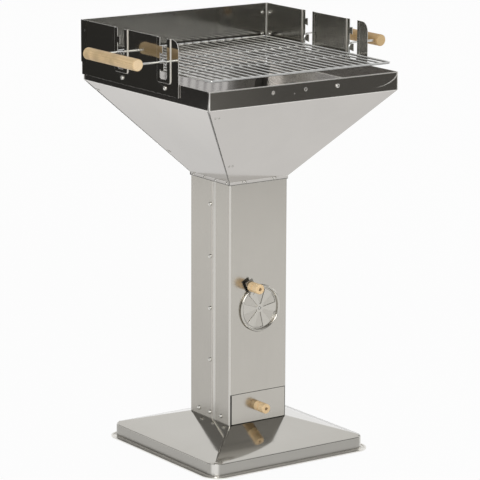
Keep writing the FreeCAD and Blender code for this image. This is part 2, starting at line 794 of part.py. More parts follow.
def build_screen_side(side, label, holes):
    """Side wall with two raised fields that carry the height slots."""
    inner_x = f"-{SCREEN}" if side < 0 else SCREEN_IN
    raised_x = f"-({SCREEN} + emboss_depth)" if side < 0 else SCREEN
    recess_x = f"-({SCREEN} + emboss_depth) + windscreen_sheet" if side < 0 else SCREEN_IN
    body = plate(f"{label}_body", "side", inner_x, [
        ("-windscreen_front", SCREEN_LOW), (SCREEN_IN, SCREEN_LOW), (SCREEN_IN, SCREEN_TOP),
        ("-windscreen_front", SCREEN_TOP, "windscreen_corner")], "windscreen_sheet")
    middles = ("slot_shift - slot_pitch / 2", "slot_shift + slot_pitch / 2")
    for middle in middles:
        field = outlined(body, "side", raised_x, emboss_corners(middle, "0", SCREEN_TOP))
        pad(body, field, "emboss_depth")
        over = f"{SCREEN_TOP} + slot_floor"
        pocket(body, outlined(body, "side", recess_x, emboss_corners(middle, "windscreen_sheet", over)),
               "emboss_depth")
        pocket(body, outlined(body, "side", raised_x if side < 0 else SCREEN_IN, slot_corners(middle)),
               "emboss_depth + 2 * windscreen_sheet")
    keep(cut(body, *holes), label)


def build_windscreen(screen_holes, post_holes):
    """Two side walls, a rear wall and the outside corner posts that join them."""
    build_screen_side(-1, "windscreen_left", (screen_holes, post_holes))
    build_screen_side(1, "windscreen_right", (screen_holes, post_holes))
    rear = plate("windscreen_rear_body", "front", f"-{SCREEN}", box_corners(
        f"-{SCREEN}", SCREEN, SCREEN_LOW, SCREEN_TOP), "windscreen_sheet")
    keep(cut(rear, screen_holes, post_holes), "windscreen_rear")
    for side, label in ((-1, "corner_post_left"), (1, "corner_post_right")):
        heel, back = f"({SCREEN} + post_sheet)", f"({SCREEN} - post_leg)"
        spots = [(heel, heel), (back, heel), (back, SCREEN), (SCREEN, SCREEN),
                 (SCREEN, back), (heel, back)]
        post = plate(f"{label}_body", "plan", RIM_TOP, [(f"{side} * {x}", y) for x, y in spots],
                     f"{SCREEN_TOP} - {RIM_TOP}")
        keep(cut(post, post_holes), label)


# Cooking grate

def build_grate():
    """Wire frame with round bars that run from front to rear, and a middle cross wire."""
    body = wire("cooking_grate", "plan", GRATE_LEVEL, [
        (f"-{GRATE}", "0"), (f"-{GRATE}", f"-{GRATE}", "grate_corner"),
        (GRATE, f"-{GRATE}", "grate_corner"), (GRATE, GRATE, "grate_corner"),
        (f"-{GRATE}", GRATE, "grate_corner")], True,
        "front", ("0", f"-{GRATE}", GRATE_LEVEL), "frame_wire / 2")
    sketch = add_sketch(body, "front", f"-{GRATE}")
    first = f"-({GRATE_BARS} - 1) / 2 * bar_pitch"
    ring(sketch, first, GRATE_LEVEL, "bar_wire / 2")
    bar = pad(body, sketch, "grate_side")
    repeat(body, bar, (sketch, ["H_Axis"]), GRATE_BARS, "bar_pitch")
    cross = add_sketch(body, "side", f"-{GRATE}")
    ring(cross, HOOK_SHIFT, f"{HOOK_LOW} + weld_depth", "hook_wire / 2")
    pad(body, cross, "grate_side")
    return keep(body, "cooking_grate")


def build_hooks():
    """Two bent wires under the frame that rise beside it, pass the slots and enter the handles."""
    end = f"({DOWEL} - hook_end_gap)"
    for sign, label in ((-1, "grate_hook_front"), (1, "grate_hook_rear")):
        spot = f"{sign} * slot_pitch / 2 + {HOOK_SHIFT}"
        keep(wire(label, "front", f"-({spot})", [
            (f"-{end}", HOOK_TOP), (f"-{RISER}", HOOK_TOP, "hook_bend"),
            (f"-{RISER}", HOOK_LOW, "hook_low_bend"), (RISER, HOOK_LOW, "hook_low_bend"),
            (RISER, HOOK_TOP, "hook_bend"), (end, HOOK_TOP)], False,
            "side", (f"-{end}", spot, HOOK_TOP), "hook_wire / 2"), label)


def build_handles():
    """Wooden dowels, cross-drilled on the wall side for the hook ends."""
    radius, half, edge = "dowel_diameter / 2", "dowel_length / 2", "dowel_chamfer"
    profile = [("0", f"-{half}"), (f"{radius} - {edge}", f"-{half}"), (radius, f"-{half} + {edge}"),
               (radius, f"{half} - {edge}"), (f"{radius} - {edge}", half), ("0", half)]
    bit = drill("dowel_drill", "hook_wire", "dowel_diameter")
    for side, label in ((-1, "handle_dowel_left"), (1, "handle_dowel_right")):
        dowel = turned(f"{label}_body", profile)
        place(dowel, f"{side} * {DOWEL}", DOWEL_SHIFT, HOOK_TOP, facing(REAR))
        depth = f"{side} * ({DOWEL} - dowel_diameter)"
        holes = group(f"{label}_holes", bit, [
            (depth, f"{sign} * slot_pitch / 2 + {HOOK_SHIFT}", HOOK_TOP, (side, 0, 0)) for sign in (-1, 1)])
        keep(cut(dowel, holes), label)


# Charcoal grate

def build_coal_grate():
    """Flat frame with round bars, lying on the funnel's slopes."""
    half, band, corner = "(coal_side / 2)", "coal_band", "coal_corner"
    level = (f"({COLUMN_TOP} + (coal_side / 2 + slide_gap + 2 * funnel_sheet - {THROAT})"
             f" * funnel_rise / ({RIM} - {THROAT}))")
    body = doc.addObject("PartDesign::Body", "charcoal_grate")
    frame = outlined(body, "plan", level, square_corners(half, corner))
    trace(frame, square_corners(f"{half} - {band}", f"{corner} - {band}"))
    pad(body, frame, "coal_thickness")
    middle = f"{level} + coal_thickness / 2"
    count = f"(floor((coal_side - 2 * {corner}) / coal_pitch) + 1)"
    sketch = add_sketch(body, "front", f"-({half} - {band} / 2)")
    ring(sketch, f"-({count} - 1) / 2 * coal_pitch", middle, "coal_bar / 2")
    bar = pad(body, sketch, f"coal_side - {band}")
    repeat(body, bar, (sketch, ["H_Axis"]), count, "coal_pitch")
    cross = add_sketch(body, "side", f"-({half} - {band} / 2)")
    ring(cross, "-coal_cross_pitch / 2", middle, "coal_bar / 2")
    ring(cross, "coal_cross_pitch / 2", middle, "coal_bar / 2")
    pad(body, cross, f"coal_side - {band}")
    keep(body, "charcoal_grate")


# Air vent

def build_vent():
    """Turning disc with beaded edge and six openings, its lug, knob and fasteners."""
    body = doc.addObject("PartDesign::Body", "vent_disc_body")
    sketch = add_sketch(body, "front", f"{COLUMN} + vent_gap")
    ring(sketch, "0", "0", "vent_radius")
    ring(sketch, "0", "0", "vent_pivot / 2 + shank_gap / 2")
    pad(body, sketch, "vent_sheet")
    bead = add_sketch(body, "side")
    ring(bead, f"-({COLUMN} + vent_gap + vent_bead / 2)", "vent_radius", "vent_bead / 2")
    roll = body.newObject("PartDesign::Revolution", "bead")
    roll.Profile = bead
    roll.ReferenceAxis = (bead, ["H_Axis"])
    roll.Angle = 360
    opening = add_sketch(body, "front", f"{COLUMN} + vent_gap / 2")
    sector(opening, "vent_slot_inner", "vent_slot_outer",
           "vent_first_slot - vent_slot_angle / 2", "vent_first_slot + vent_slot_angle / 2")
    spin(body, pocket(body, opening, "2 * vent_sheet"), "Y_Axis", VENT_SLOTS)
    place(body, "vent_shift", "0", VENT_LEVEL)

    tilt = FreeCAD.Rotation(Vector(0, -1, 0), number("lug_tilt"))
    plane = f"({VENT_FACE} + lug_offset)"
    lug = plate("lug_body", "side", "-lug_width / 2", [
        (f"-{VENT_FACE}", "lug_foot_inner"), (f"-{VENT_FACE}", "lug_step"), (f"-{plane}", "lug_step"),
        (f"-{plane}", "lug_outer"), (f"-{plane} - lug_sheet", "lug_outer"),
        (f"-{plane} - lug_sheet", "lug_step - lug_sheet"),
        (f"-{VENT_FACE} - lug_sheet", "lug_step - lug_sheet"),
        (f"-{VENT_FACE} - lug_sheet", "lug_foot_inner")], "lug_width")
    place(lug, "vent_shift", "0", VENT_LEVEL, tilt, "lug_tilt")

    def on_lug(radius, depth):
        """Spot at a radius along the lug and a depth in front of the column's middle."""
        across = f"vent_shift - ({radius}) * sin(lug_tilt)"
        up = f"{VENT_LEVEL} + ({radius}) * cos(lug_tilt)"
        return (across, f"-({depth})", up)

    foot_holes = rivets("vent_lug_rivet", [
        (*on_lug("(lug_foot_inner + lug_step - lug_sheet) / 2", f"{VENT_FACE} + lug_sheet"), FRONT)],
        "lug_sheet + vent_sheet", "lug_sheet + 2 * vent_sheet")
    knob_holes = screws("vent_knob_screw", [(*on_lug("lug_knob_radius", plane), REAR)],
                        "lug_sheet + knob_length / 2", "knob_length / 2 + 2 * lug_sheet")
    keep(cut(body, foot_holes), "vent_disc")
    keep(cut(lug, foot_holes, knob_holes), "vent_lug")
    build_knob("vent_knob", on_lug("lug_knob_radius", f"{plane} + lug_sheet"), knob_holes)


def pivot_screw():
    """Rivet on which the vent disc turns, fixed in the column wall."""
    pin_body = headed_pin("pivot_pin", "2 * vent_pivot", "rivet_head_height", "rivet_head_round",
                          "vent_pivot", "slide_gap + vent_sheet + vent_gap + 2 * column_sheet")
    places = [("vent_shift", f"-({VENT_FACE} + slide_gap)", VENT_LEVEL, FRONT)]
    keep(group("vent_pivot", pin_body, places), "vent_pivot")
    return group("pivot_hole", drill("pivot_drill", "vent_pivot", "4 * vent_bead"), places)


def build_knob(label, spot, holes):
    """Turned wooden knob with a groove and a hole in its end."""
    radius, length = "knob_diameter / 2", "knob_length"
    groove, wide = "knob_groove", "knob_groove_width"
    hole, floor = "knob_hole / 2", "knob_length - knob_hole_depth"
    body = turned(f"{label}_body", [
        ("0", "0"), (radius, "0"), (radius, "knob_shoulder"), (f"{radius} - {groove}", "knob_shoulder"),
        (f"{radius} - {groove}", f"knob_shoulder + {wide}"), (radius, f"knob_shoulder + {wide}"),
        (radius, length, "knob_round"), (hole, length), (hole, floor), ("0", floor)])
    keep(cut(place(body, *spot, facing(FRONT)), holes), label)


# Ash drawer

def build_drawer():
    """Folded tray on the foot angles with a flush front and a wooden knob."""
    half = f"({ANGLE_IN} - drawer_side_gap)"
    face = f"({COLUMN} - drawer_sheet)"
    rear = f"drawer_depth - {face}"
    body = plate("drawer_tray_body", "plan", TRAY_LOW,
                 box_corners(f"-{half}", half, f"-{face}", rear), "drawer_wall")
    pocket(body, outlined(body, "plan", f"{TRAY_LOW} + drawer_sheet", box_corners(
        f"-{half} + drawer_sheet", f"{half} - drawer_sheet", f"-{face} + drawer_sheet",
        f"{rear} - drawer_sheet")), "drawer_wall")
    knob_spot = ("0", f"-{COLUMN}", KNOB_LEVEL)
    knob_holes = screws("drawer_knob_screw", [("0", f"-{face} + drawer_sheet", KNOB_LEVEL, REAR)],
                        "2 * drawer_sheet + knob_length / 2", "knob_length / 2 + 3 * drawer_sheet")
    keep(cut(body, knob_holes), "drawer_tray")
    opening = f"({COLUMN} - drawer_stile)"
    front = plate("drawer_front_body", "front", face, box_corners(
        f"-({opening} - drawer_left_gap)", f"{opening} - drawer_gap", DRAWER_LOW, f"{DRAWER_LOW} + drawer_front_height"), "drawer_sheet")
    keep(cut(front, knob_holes), "drawer_front")
    build_knob("drawer_knob", knob_spot, knob_holes)


def build_guides():
    """Angle strips above the drawer's sides that keep it level when it is pulled out."""
    low = f"{TRAY_TOP} + slide_gap"
    for side, label in ((-1, "drawer_guide_left"), (1, "drawer_guide_right")):
        outer, inner = f"{side} * {LAP_IN}", f"{side} * ({LAP_IN} - guide_sheet)"
        toe = f"{side} * ({LAP_IN} - guide_leg)"
        keep(plate(label, "front", "-angle_rear", [
            (outer, low), (toe, low), (toe, f"{low} + guide_sheet"), (inner, f"{low} + guide_sheet"),
            (inner, f"{low} + guide_leg"), (outer, f"{low} + guide_leg")], "angle_rear + angle_front"), label)


def build():
    """Fasteners first, because their drills make the holes in the pieces."""
    lapped = "2 * column_sheet"
    seam_length = f"{lapped} + screw_shank"
    seam_holes = screws("seam_screws", seam_places(), seam_length, seam_length)
    foot_holes = screws("foot_screws", foot_places(), f"{lapped} + angle_sheet - slide_gap",
                        f"{lapped} + 2 * angle_sheet")
    bolt_holes = screws("foot_bolts", bolt_places(), "base_sheet + angle_sheet",
                        "base_sheet + 2 * angle_sheet")
    throat_holes = rivets("throat_rivets", throat_places(), "funnel_sheet + 2 * column_sheet",
                          "funnel_sheet + 3 * column_sheet")
    strip_holes = rivets("corner_rivets", strip_places(), "funnel_sheet + strip_sheet",
                         "2 * funnel_sheet + 2 * strip_sheet", strip_angle())
    clamp = "windscreen_sheet + windscreen_standoff + funnel_sheet"
    clamped = f"{clamp} + nut_height"
    screen_holes = screws("windscreen_bolts", screen_places(), clamped, clamped)
    collars("windscreen_spacers", moved_in(screen_places(), "windscreen_sheet + windscreen_standoff"),
            "windscreen_standoff", "screw_head")
    collars("windscreen_nuts", turned_in(moved_in(screen_places(), clamp)), "nut_height", "nut_width")
    post_holes = screws("corner_bolts", post_places(), "windscreen_sheet + post_sheet",
                        "windscreen_sheet + 2 * post_sheet")
    rim_level = f"{RIM_TOP} - rim_hole_drop"
    rim_spots = [(f"{k} * rim_hole_pitch", f"-{RIM}", rim_level, FRONT) for k in (-1, 0, 1)]
    rim_clamped = "funnel_sheet + nut_height"
    rim_bolt_hole = screws("rim_bolt", rim_spots[2:], rim_clamped, rim_clamped)
    collars("rim_nut", turned_in(moved_in(rim_spots[2:], "funnel_sheet")), "nut_height", "nut_width")
    open_drill = drill("rim_drill", "screw_shank", "4 * funnel_sheet")
    open_holes = group("rim_open_holes", open_drill, rim_spots[:2])
    rim_holes = doc.addObject("Part::Compound", "rim_holes")
    rim_holes.Links = [rim_bolt_hole, open_holes]

    build_base(bolt_holes)
    build_foot_angles(foot_holes, bolt_holes)
    build_column(seam_holes, foot_holes, throat_holes, pivot_screw())
    build_funnel(throat_holes, strip_holes, screen_holes, rim_holes)
    build_strips(strip_holes)
    build_windscreen(screen_holes, post_holes)
    build_grate()
    build_hooks()
    build_handles()
    build_coal_grate()
    build_vent()
    build_drawer()
    build_guides()


def write_steps():
    """Check every object, then write one STEP file for each sub-part."""
    doc.recompute()
    failed = [o.Name for o in doc.Objects if "Invalid" in o.State or "Error" in o.State]
    failed += [n.Label for n in nodes if n.Shape.isNull() or not n.Shape.isValid()]
    if failed:
        raise RuntimeError(f"failed objects: {failed}")
    os.makedirs("parts", exist_ok=True)
    for node in nodes:
        node.Shape.exportStep(f"parts/{node.Label}.step")
    print(len(nodes), "sub-parts written")


build()
write_steps()
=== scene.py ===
# %% [markdown]
# # Funnel grill
#
# This lesson dresses a charcoal grill of folded sheet steel: a square funnel on a square column, a pressed
# base, a windscreen of mirror-bright sheet, a wire grate with wooden handles, an air vent and an ash drawer.
# The shapes that carry load come ready made from the CAD frame. After the camera and the studio, they get
# their finishes, their fasteners and the small marks of making.

import math

import bmesh
import bpy
import numpy as np
from mathutils import Matrix, Vector, noise


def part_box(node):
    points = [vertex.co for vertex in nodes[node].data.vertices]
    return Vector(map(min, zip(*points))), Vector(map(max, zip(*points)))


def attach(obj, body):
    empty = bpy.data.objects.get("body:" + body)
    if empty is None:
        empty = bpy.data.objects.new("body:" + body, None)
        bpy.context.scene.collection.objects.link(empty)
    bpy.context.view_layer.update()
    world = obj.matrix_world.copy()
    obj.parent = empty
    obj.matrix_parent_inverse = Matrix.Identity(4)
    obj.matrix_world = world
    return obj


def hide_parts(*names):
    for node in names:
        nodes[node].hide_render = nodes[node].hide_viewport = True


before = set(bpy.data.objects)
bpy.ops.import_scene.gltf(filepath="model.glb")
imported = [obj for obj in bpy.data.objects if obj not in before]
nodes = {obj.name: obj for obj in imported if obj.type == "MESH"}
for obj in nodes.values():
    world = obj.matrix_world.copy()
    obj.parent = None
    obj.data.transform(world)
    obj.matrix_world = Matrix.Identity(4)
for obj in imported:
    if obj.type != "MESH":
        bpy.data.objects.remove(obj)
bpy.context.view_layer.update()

# %% [markdown]
# ## Camera
#
# The photograph looks at the grill from the front left, a little above the rim, through a long lens from far
# away. A long lens keeps upright edges almost parallel. The camera could be placed by eye, but corners of the
# base, the column and the rim give its direction, distance and focal length, so these numbers are written
# down and the camera is aimed at a point on the column's axis.

# %% Camera
AIM = Vector((0.0, 0.0, 0.4628))
AZIMUTH, ELEVATION, ROLL = math.radians(-34.82), math.radians(12.5), math.radians(0.22)
DISTANCE = 6.372
IMAGE_PIXELS = 480
FOCAL_PIXELS = 2887.7
CENTRE_PIXEL = 238.6
SENSOR = 36.0

lens = bpy.data.cameras.new("photo_camera")
lens.sensor_width = SENSOR
lens.lens = SENSOR * FOCAL_PIXELS / IMAGE_PIXELS
lens.shift_x = 0.5 - CENTRE_PIXEL / IMAGE_PIXELS
camera = bpy.data.objects.new("photo_camera", lens)
camera.location = AIM + DISTANCE * Vector((
    math.sin(AZIMUTH) * math.cos(ELEVATION), -math.cos(AZIMUTH) * math.cos(ELEVATION), math.sin(ELEVATION)))
turn = Matrix.Rotation(AZIMUTH, 3, "Z") @ Matrix.Rotation(math.pi / 2 - ELEVATION, 3, "X")
camera.rotation_euler = (turn @ Matrix.Rotation(ROLL, 3, "Z")).to_euler()
bpy.context.scene.collection.objects.link(camera)
bpy.context.scene.camera = camera
bpy.context.scene.view_settings.view_transform = "Standard"
print("camera at", [round(v, 3) for v in camera.location], "lens", round(lens.lens, 1), "mm")

# %% [markdown]
# ## Nodes by the line
#
# Every finish below is a little tree of shader nodes. A few small helpers keep the trees readable: one adds a
# node and sets or links its inputs in a single line, others do one step of arithmetic or mix two colours.
# Values that are sockets get linked, and plain numbers are typed into the socket.

# %% Node helpers
def put(tree, kind, inputs=None, **settings):
    """Add a shader node; inputs that are sockets are linked, others are set."""
    node = tree.nodes.new("ShaderNode" + kind)
    for key, value in settings.items():
        setattr(node, key, value)
    for key, value in (inputs or {}).items():
        if isinstance(value, bpy.types.NodeSocket):
            tree.links.new(value, node.inputs[key])
        else:
            node.inputs[key].default_value = value
    return node


def calc(tree, operation, first, second=0.0, clamp=False):
    """One arithmetic step; gives the result's socket."""
    return put(tree, "Math", {0: first, 1: second}, operation=operation, use_clamp=clamp).outputs[0]


def times(tree, first, *others):
    """Product of several values."""
    for other in others:
        first = calc(tree, "MULTIPLY", first, other)
    return first


def highest(tree, first, *others):
    """Largest of several values."""
    for other in others:
        first = calc(tree, "MAXIMUM", first, other)
    return first


def apart(tree, first, second=0.0):
    """Distance between two values."""
    return calc(tree, "ABSOLUTE", calc(tree, "SUBTRACT", first, second))


def remap(tree, value, low, high, new_low=0.0, new_high=1.0):
    """Smooth step of a value from one range to another."""
    node = put(tree, "MapRange", {"Value": value, "From Min": low, "From Max": high, "To Min": new_low,
                                  "To Max": new_high}, interpolation_type="SMOOTHSTEP")
    return node.outputs["Result"]


def vector(tree, operation, first, second=(0.0, 0.0, 0.0)):
    """One step of vector arithmetic; gives the result's socket."""
    outputs = put(tree, "VectorMath", {0: first, 1: second}, operation=operation).outputs
    return outputs["Value" if operation in ("LENGTH", "DISTANCE", "DOT_PRODUCT") else "Vector"]


def axes(tree, where):
    """X, Y and Z of a position."""
    return put(tree, "SeparateXYZ", {0: where}).outputs


def true_normal(tree):
    """Direction that a flat face looks in, untouched by bump."""
    return put(tree, "NewGeometry").outputs["True Normal"]


def tint(tree, factor, first, second):
    """Mix of two colours."""
    return put(tree, "Mix", {0: factor, 6: first, 7: second}, data_type="RGBA").outputs[2]


def scaled(tree, color, share):
    """Colour made lighter or darker by a share, which may be a socket."""
    return put(tree, "VectorMath", {0: color, "Scale": share}, operation="SCALE").outputs[0]


def shaded(color, share=1.0):
    """Plain colour made lighter or darker by a share, with full alpha."""
    return tuple(share * channel for channel in color) + (1.0,)


def new_material(name):
    """Empty node material; gives the material and its tree."""
    material = bpy.data.materials.new(name)
    material.use_nodes = True
    material.node_tree.nodes.clear()
    return material, material.node_tree


def new_group(name, inputs, outputs):
    """Empty shader node group with named sockets; gives the group and its two ends."""
    group = bpy.data.node_groups.new(name, "ShaderNodeTree")
    for label, kind, value in inputs:
        socket = group.interface.new_socket(label, in_out="INPUT", socket_type="NodeSocket" + kind)
        if value is not None:
            socket.default_value = value
    for label, kind in outputs:
        group.interface.new_socket(label, in_out="OUTPUT", socket_type="NodeSocket" + kind)
    return group, group.nodes.new("NodeGroupInput").outputs, group.nodes.new("NodeGroupOutput").inputs


def placed(tree, group, inputs):
    """Group node in a material, with its own values; gives its outputs."""
    return put(tree, "Group", inputs, node_tree=group).outputs


print("node helpers ready")

# %% [markdown]
# ## Studio
#
# The photograph is a cut-out on white, lit by large soft lamps. The floor here is pale and plain. Camera,
# glossy and transmission rays see most of it as white, so that the steel mirrors the same white, and the rest
# is a matt surface that keeps the grill's shadow.

# %% Floor
FLOOR_RADIUS = 60.0
FLOOR_WHITE_SHARE = 0.94

floor_mesh = bpy.data.meshes.new("studio_floor")
outline = bmesh.new()
bmesh.ops.create_circle(outline, cap_ends=True, segments=96, radius=FLOOR_RADIUS)
outline.to_mesh(floor_mesh)
outline.free()
floor = bpy.data.objects.new("studio_floor", floor_mesh)
bpy.context.scene.collection.objects.link(floor)

pale, tree = new_material("pale_floor")
path = put(tree, "LightPath").outputs
seen = highest(tree, path["Is Camera Ray"], path["Is Glossy Ray"], path["Is Transmission Ray"])
matt = put(tree, "BsdfDiffuse", {"Color": (0.86, 0.86, 0.86, 1)})
white = put(tree, "Emission", {"Color": (1, 1, 1, 1), "Strength": 1.0})
mixed = put(tree, "MixShader", {
    0: times(tree, seen, FLOOR_WHITE_SHARE), 1: matt.outputs[0], 2: white.outputs[0]})
put(tree, "OutputMaterial", {"Surface": mixed.outputs[0]})
floor_mesh.materials.append(pale)
print("floor", FLOOR_RADIUS, "m wide in radius")

# %% [markdown]
# Over and behind the grill hangs one very large lamp that the slopes of the base mirror. A broad key lamp
# stands at the front left and a smaller one at the right, for the light lines on wires, beads and wood. The
# sky is white near the horizon and greyer above. A lamp adds its light to the sky behind it, so the large one
# needs only little.

# %% World and lamps
world = bpy.data.worlds.new("studio_world")
bpy.context.scene.world = world
world.use_nodes = True
tree = world.node_tree
tree.nodes.clear()
height = axes(tree, put(tree, "TexCoord").outputs["Generated"])["Z"]
sky = tint(tree, remap(tree, height, 0.05, 0.45), (0.92, 0.92, 0.91, 1), (0.33, 0.33, 0.33, 1))
put(tree, "OutputWorld", {"Surface": put(tree, "Background", {"Color": sky}).outputs[0]})


def soft_lamp(name, spot, aim, size, radiance):
    """Area lamp of a given brightness that points at a spot."""
    data = bpy.data.lights.new(name, "AREA")
    data.shape = "RECTANGLE"
    data.size, data.size_y = size
    data.energy = radiance * math.pi * size[0] * size[1]
    lamp = bpy.data.objects.new(name, data)
    lamp.location = spot
    lamp.rotation_euler = (Vector(aim) - Vector(spot)).to_track_quat("-Z", "Y").to_euler()
    lamp.visible_camera = False
    bpy.context.scene.collection.objects.link(lamp)


soft_lamp("top_lamp", (2.7, 4.2, 3.3), (2.3, 3.4, 0.0), (6.5, 7.0), 0.66)
soft_lamp("key_lamp", (-2.4, -3.2, 2.7), (0.0, 0.0, 0.6), (3.0, 2.2), 4.4)
soft_lamp("side_lamp", (3.6, -0.4, 1.5), (0.0, 0.0, 0.6), (1.6, 1.8), 1.6)

# %% [markdown]
# Bright sheet also needs something dark to mirror, or it looks like paper. Two curved cards of dark felt hang
# far out, where the upright faces of the rim and the windscreen send the camera's view: one at the rear left,
# one at the front right. They end above the floor, because the column and the base mirror white. The front
# right one is lighter to one side, so that the rim isn't one flat tone. A photographer places such cards just
# out of the picture. Only reflections see them.

# %% Dark cards
CARD_RADIUS, CARD_LOW, CARD_HIGH = 3.05, 0.17, 0.72
CARD_HALF_ANGLE, CARD_STEPS = math.radians(40), 24


def hang_card(name, mesh, material):
    """Put up a card that only reflections see."""
    mesh.materials.append(material)
    card = bpy.data.objects.new(name, mesh)
    card.visible_camera = card.visible_diffuse = card.visible_shadow = card.visible_transmission = False
    bpy.context.scene.collection.objects.link(card)


def dark_card(name, middle, color, lit_side=None):
    """Curved upright card; middle is its direction from the grill, and lit_side (two places along X and the
    shares of light there) makes it lighter to one side."""
    mesh = bpy.data.meshes.new(name)
    strip = bmesh.new()
    rows = []
    for k in range(CARD_STEPS + 1):
        turn = middle + CARD_HALF_ANGLE * (2 * k / CARD_STEPS - 1)
        x, y = CARD_RADIUS * math.cos(turn), CARD_RADIUS * math.sin(turn)
        rows.append((strip.verts.new((x, y, CARD_LOW)), strip.verts.new((x, y, CARD_HIGH))))
    for (low, high), (next_low, next_high) in zip(rows, rows[1:]):
        strip.faces.new((low, next_low, next_high, high))
    strip.to_mesh(mesh)
    strip.free()
    felt, tree = new_material(name + "_felt")
    where = put(tree, "TexCoord").outputs["Object"]
    nap = put(tree, "TexNoise", {"Vector": where, "Scale": 3.0, "Detail": 2.0})
    shade = tint(tree, nap.outputs["Fac"], shaded(color, 0.85), shaded(color, 1.15))
    if lit_side:
        shade = scaled(tree, shade, remap(tree, axes(tree, where)["X"], *lit_side))
    put(tree, "OutputMaterial", {"Surface": put(tree, "Emission", {"Color": shade}).outputs[0]})
    hang_card(name, mesh, felt)


dark_card("rear_left_card", math.radians(125), (0.04, 0.039, 0.0375))
dark_card("front_right_card", math.radians(-55), (0.125, 0.122, 0.113), lit_side=(1.64, 1.38, 0.9, 1.4))
print("cards from", CARD_LOW, "to", CARD_HIGH, "m at", CARD_RADIUS, "m")

# %% [markdown]
# The slopes inside the funnel look up, through the bars of the grate, at what hangs above the front right. In
# the photograph they are bright, so a white card lies flat up there. It too is seen by reflections alone.

# %% White card
WHITE_CARD = [(0.45, -1.6), (3.0, -1.6), (3.0, 0.3), (0.45, 0.3)]
WHITE_CARD_HEIGHT, WHITE_CARD_GLOW = 2.4, 1.0

paper, tree = new_material("card_paper")
fade = put(tree, "TexNoise", {"Vector": put(tree, "TexCoord").outputs["Object"], "Scale": 1.5, "Detail": 1.0})
glow = tint(tree, fade.outputs["Fac"], (0.82, 0.83, 0.86, 1), (1.0, 1.0, 1.0, 1))
lit = put(tree, "Emission", {"Color": glow, "Strength": WHITE_CARD_GLOW})
put(tree, "OutputMaterial", {"Surface": lit.outputs[0]})
white_mesh = bpy.data.meshes.new("white_card")
white_mesh.from_pydata([(x, y, WHITE_CARD_HEIGHT) for x, y in WHITE_CARD], [], [(0, 1, 2, 3)])
hang_card("white_card", white_mesh, paper)
print("white card at", WHITE_CARD_HEIGHT, "m")

# %% [markdown]
# ## Marks in sheet steel
#
# Rolled sheet is never one flat tone. It has fine lines along the rolling direction, a slow clouding from
# polishing and handling, and it lies a little wavy, which bends what it mirrors. All the steel here needs
# these, each in its own measure, so they are built once as a node group. An image could hold such marks, but
# noise computed from the part's own coordinates has no seams and no resolution. The group expects coordinates
# whose Z runs along the rolling lines.

# %% Sheet marks group
sheet_marks, ends, results = new_group(
    "sheet_marks", [("Vector", "Vector", None), ("Fineness", "Float", 900.0), ("Cloud size", "Float", 5.0)],
    [("Lines", "Float"), ("Cloud", "Float"), ("Smudge", "Float"), ("Wave", "Float")])
tree = sheet_marks
stretch = vector(tree, "MULTIPLY", ends["Vector"], (1.0, 1.0, 0.012))
lines = put(tree, "TexNoise", {"Vector": stretch, "Scale": ends["Fineness"], "Detail": 3.0, "Roughness": 0.65})
cloud = put(tree, "TexNoise", {"Vector": ends["Vector"], "Scale": ends["Cloud size"], "Detail": 4.0,
                               "Roughness": 0.55, "Distortion": 0.4})
spots = put(tree, "TexNoise", {"Vector": ends["Vector"], "Scale": times(tree, ends["Cloud size"], 7.0),
                               "Detail": 5.0, "Roughness": 0.7})
wave = put(tree, "TexNoise", {"Vector": ends["Vector"], "Scale": 7.0, "Detail": 1.0})
tree.links.new(lines.outputs["Fac"], results["Lines"])
tree.links.new(cloud.outputs["Fac"], results["Cloud"])
smudge = times(tree, remap(tree, spots.outputs["Fac"], 0.52, 0.75),
               remap(tree, cloud.outputs["Fac"], 0.45, 0.7))
tree.links.new(smudge, results["Smudge"])
tree.links.new(wave.outputs["Fac"], results["Wave"])
print("group", sheet_marks.name, "with", len(sheet_marks.nodes), "nodes")

# %% [markdown]
# ## Painted highlights and shade
#
# Folds, corners and the sides of pressed or sheared steps get painted highlights, lighter colour where light
# would catch them. On the column and the rim these are narrow bands down the corners, found from the distance
# to both faces. On the windscreen they are all faces that turn away from the wall, found from the surface's
# direction, and a thin line along the outline of each raised field. The inner faces of the funnel and the
# windscreen get painted shade. Round marks, such as the lighter rings at the rim's holes, are measured from an
# axis along Y. All are masks that a material can mix with, so each is a small group.

# %% Fold groups
corner_fold, ends, results = new_group(
    "corner_fold", [("Vector", "Vector", None), ("Half width", "Float", 0.1), ("Band", "Float", 0.004)],
    [("Fold", "Float")])
tree = corner_fold
spot = axes(tree, ends["Vector"])
nearer = calc(tree, "MINIMUM", apart(tree, spot["X"]), apart(tree, spot["Y"]))
share = calc(tree, "DIVIDE", calc(tree, "SUBTRACT", ends["Half width"], nearer), ends["Band"])
tree.links.new(remap(tree, share, 1.05, 0.7), results["Fold"])

step_side, ends, results = new_group(
    "step_side", [("Normal", "Vector", None), ("Wall", "Vector", (1.0, 0.0, 0.0))], [("Side", "Float")])
tree = step_side
along = vector(tree, "DOT_PRODUCT", ends["Normal"], ends["Wall"])
tree.links.new(remap(tree, apart(tree, along), 0.9, 0.6), results["Side"])

field_outline, ends, results = new_group(
    "field_outline", [("Vector", "Vector", None), ("Middle", "Float", 0.0), ("Half width", "Float", 0.025),
                      ("Foot", "Float", 0.85), ("Corner", "Float", 0.006), ("Band", "Float", 0.001)],
    [("Line", "Float")])
tree = field_outline
spot = axes(tree, ends["Vector"])
beside = calc(tree, "SUBTRACT", apart(tree, spot["Y"], ends["Middle"]), ends["Half width"])
below = calc(tree, "SUBTRACT", ends["Foot"], spot["Z"])
edge = put(tree, "Math", {0: beside, 1: below, 2: ends["Corner"]}, operation="SMOOTH_MAX").outputs[0]
share = calc(tree, "DIVIDE", apart(tree, edge), ends["Band"])
tree.links.new(remap(tree, share, 1.0, 0.5), results["Line"])

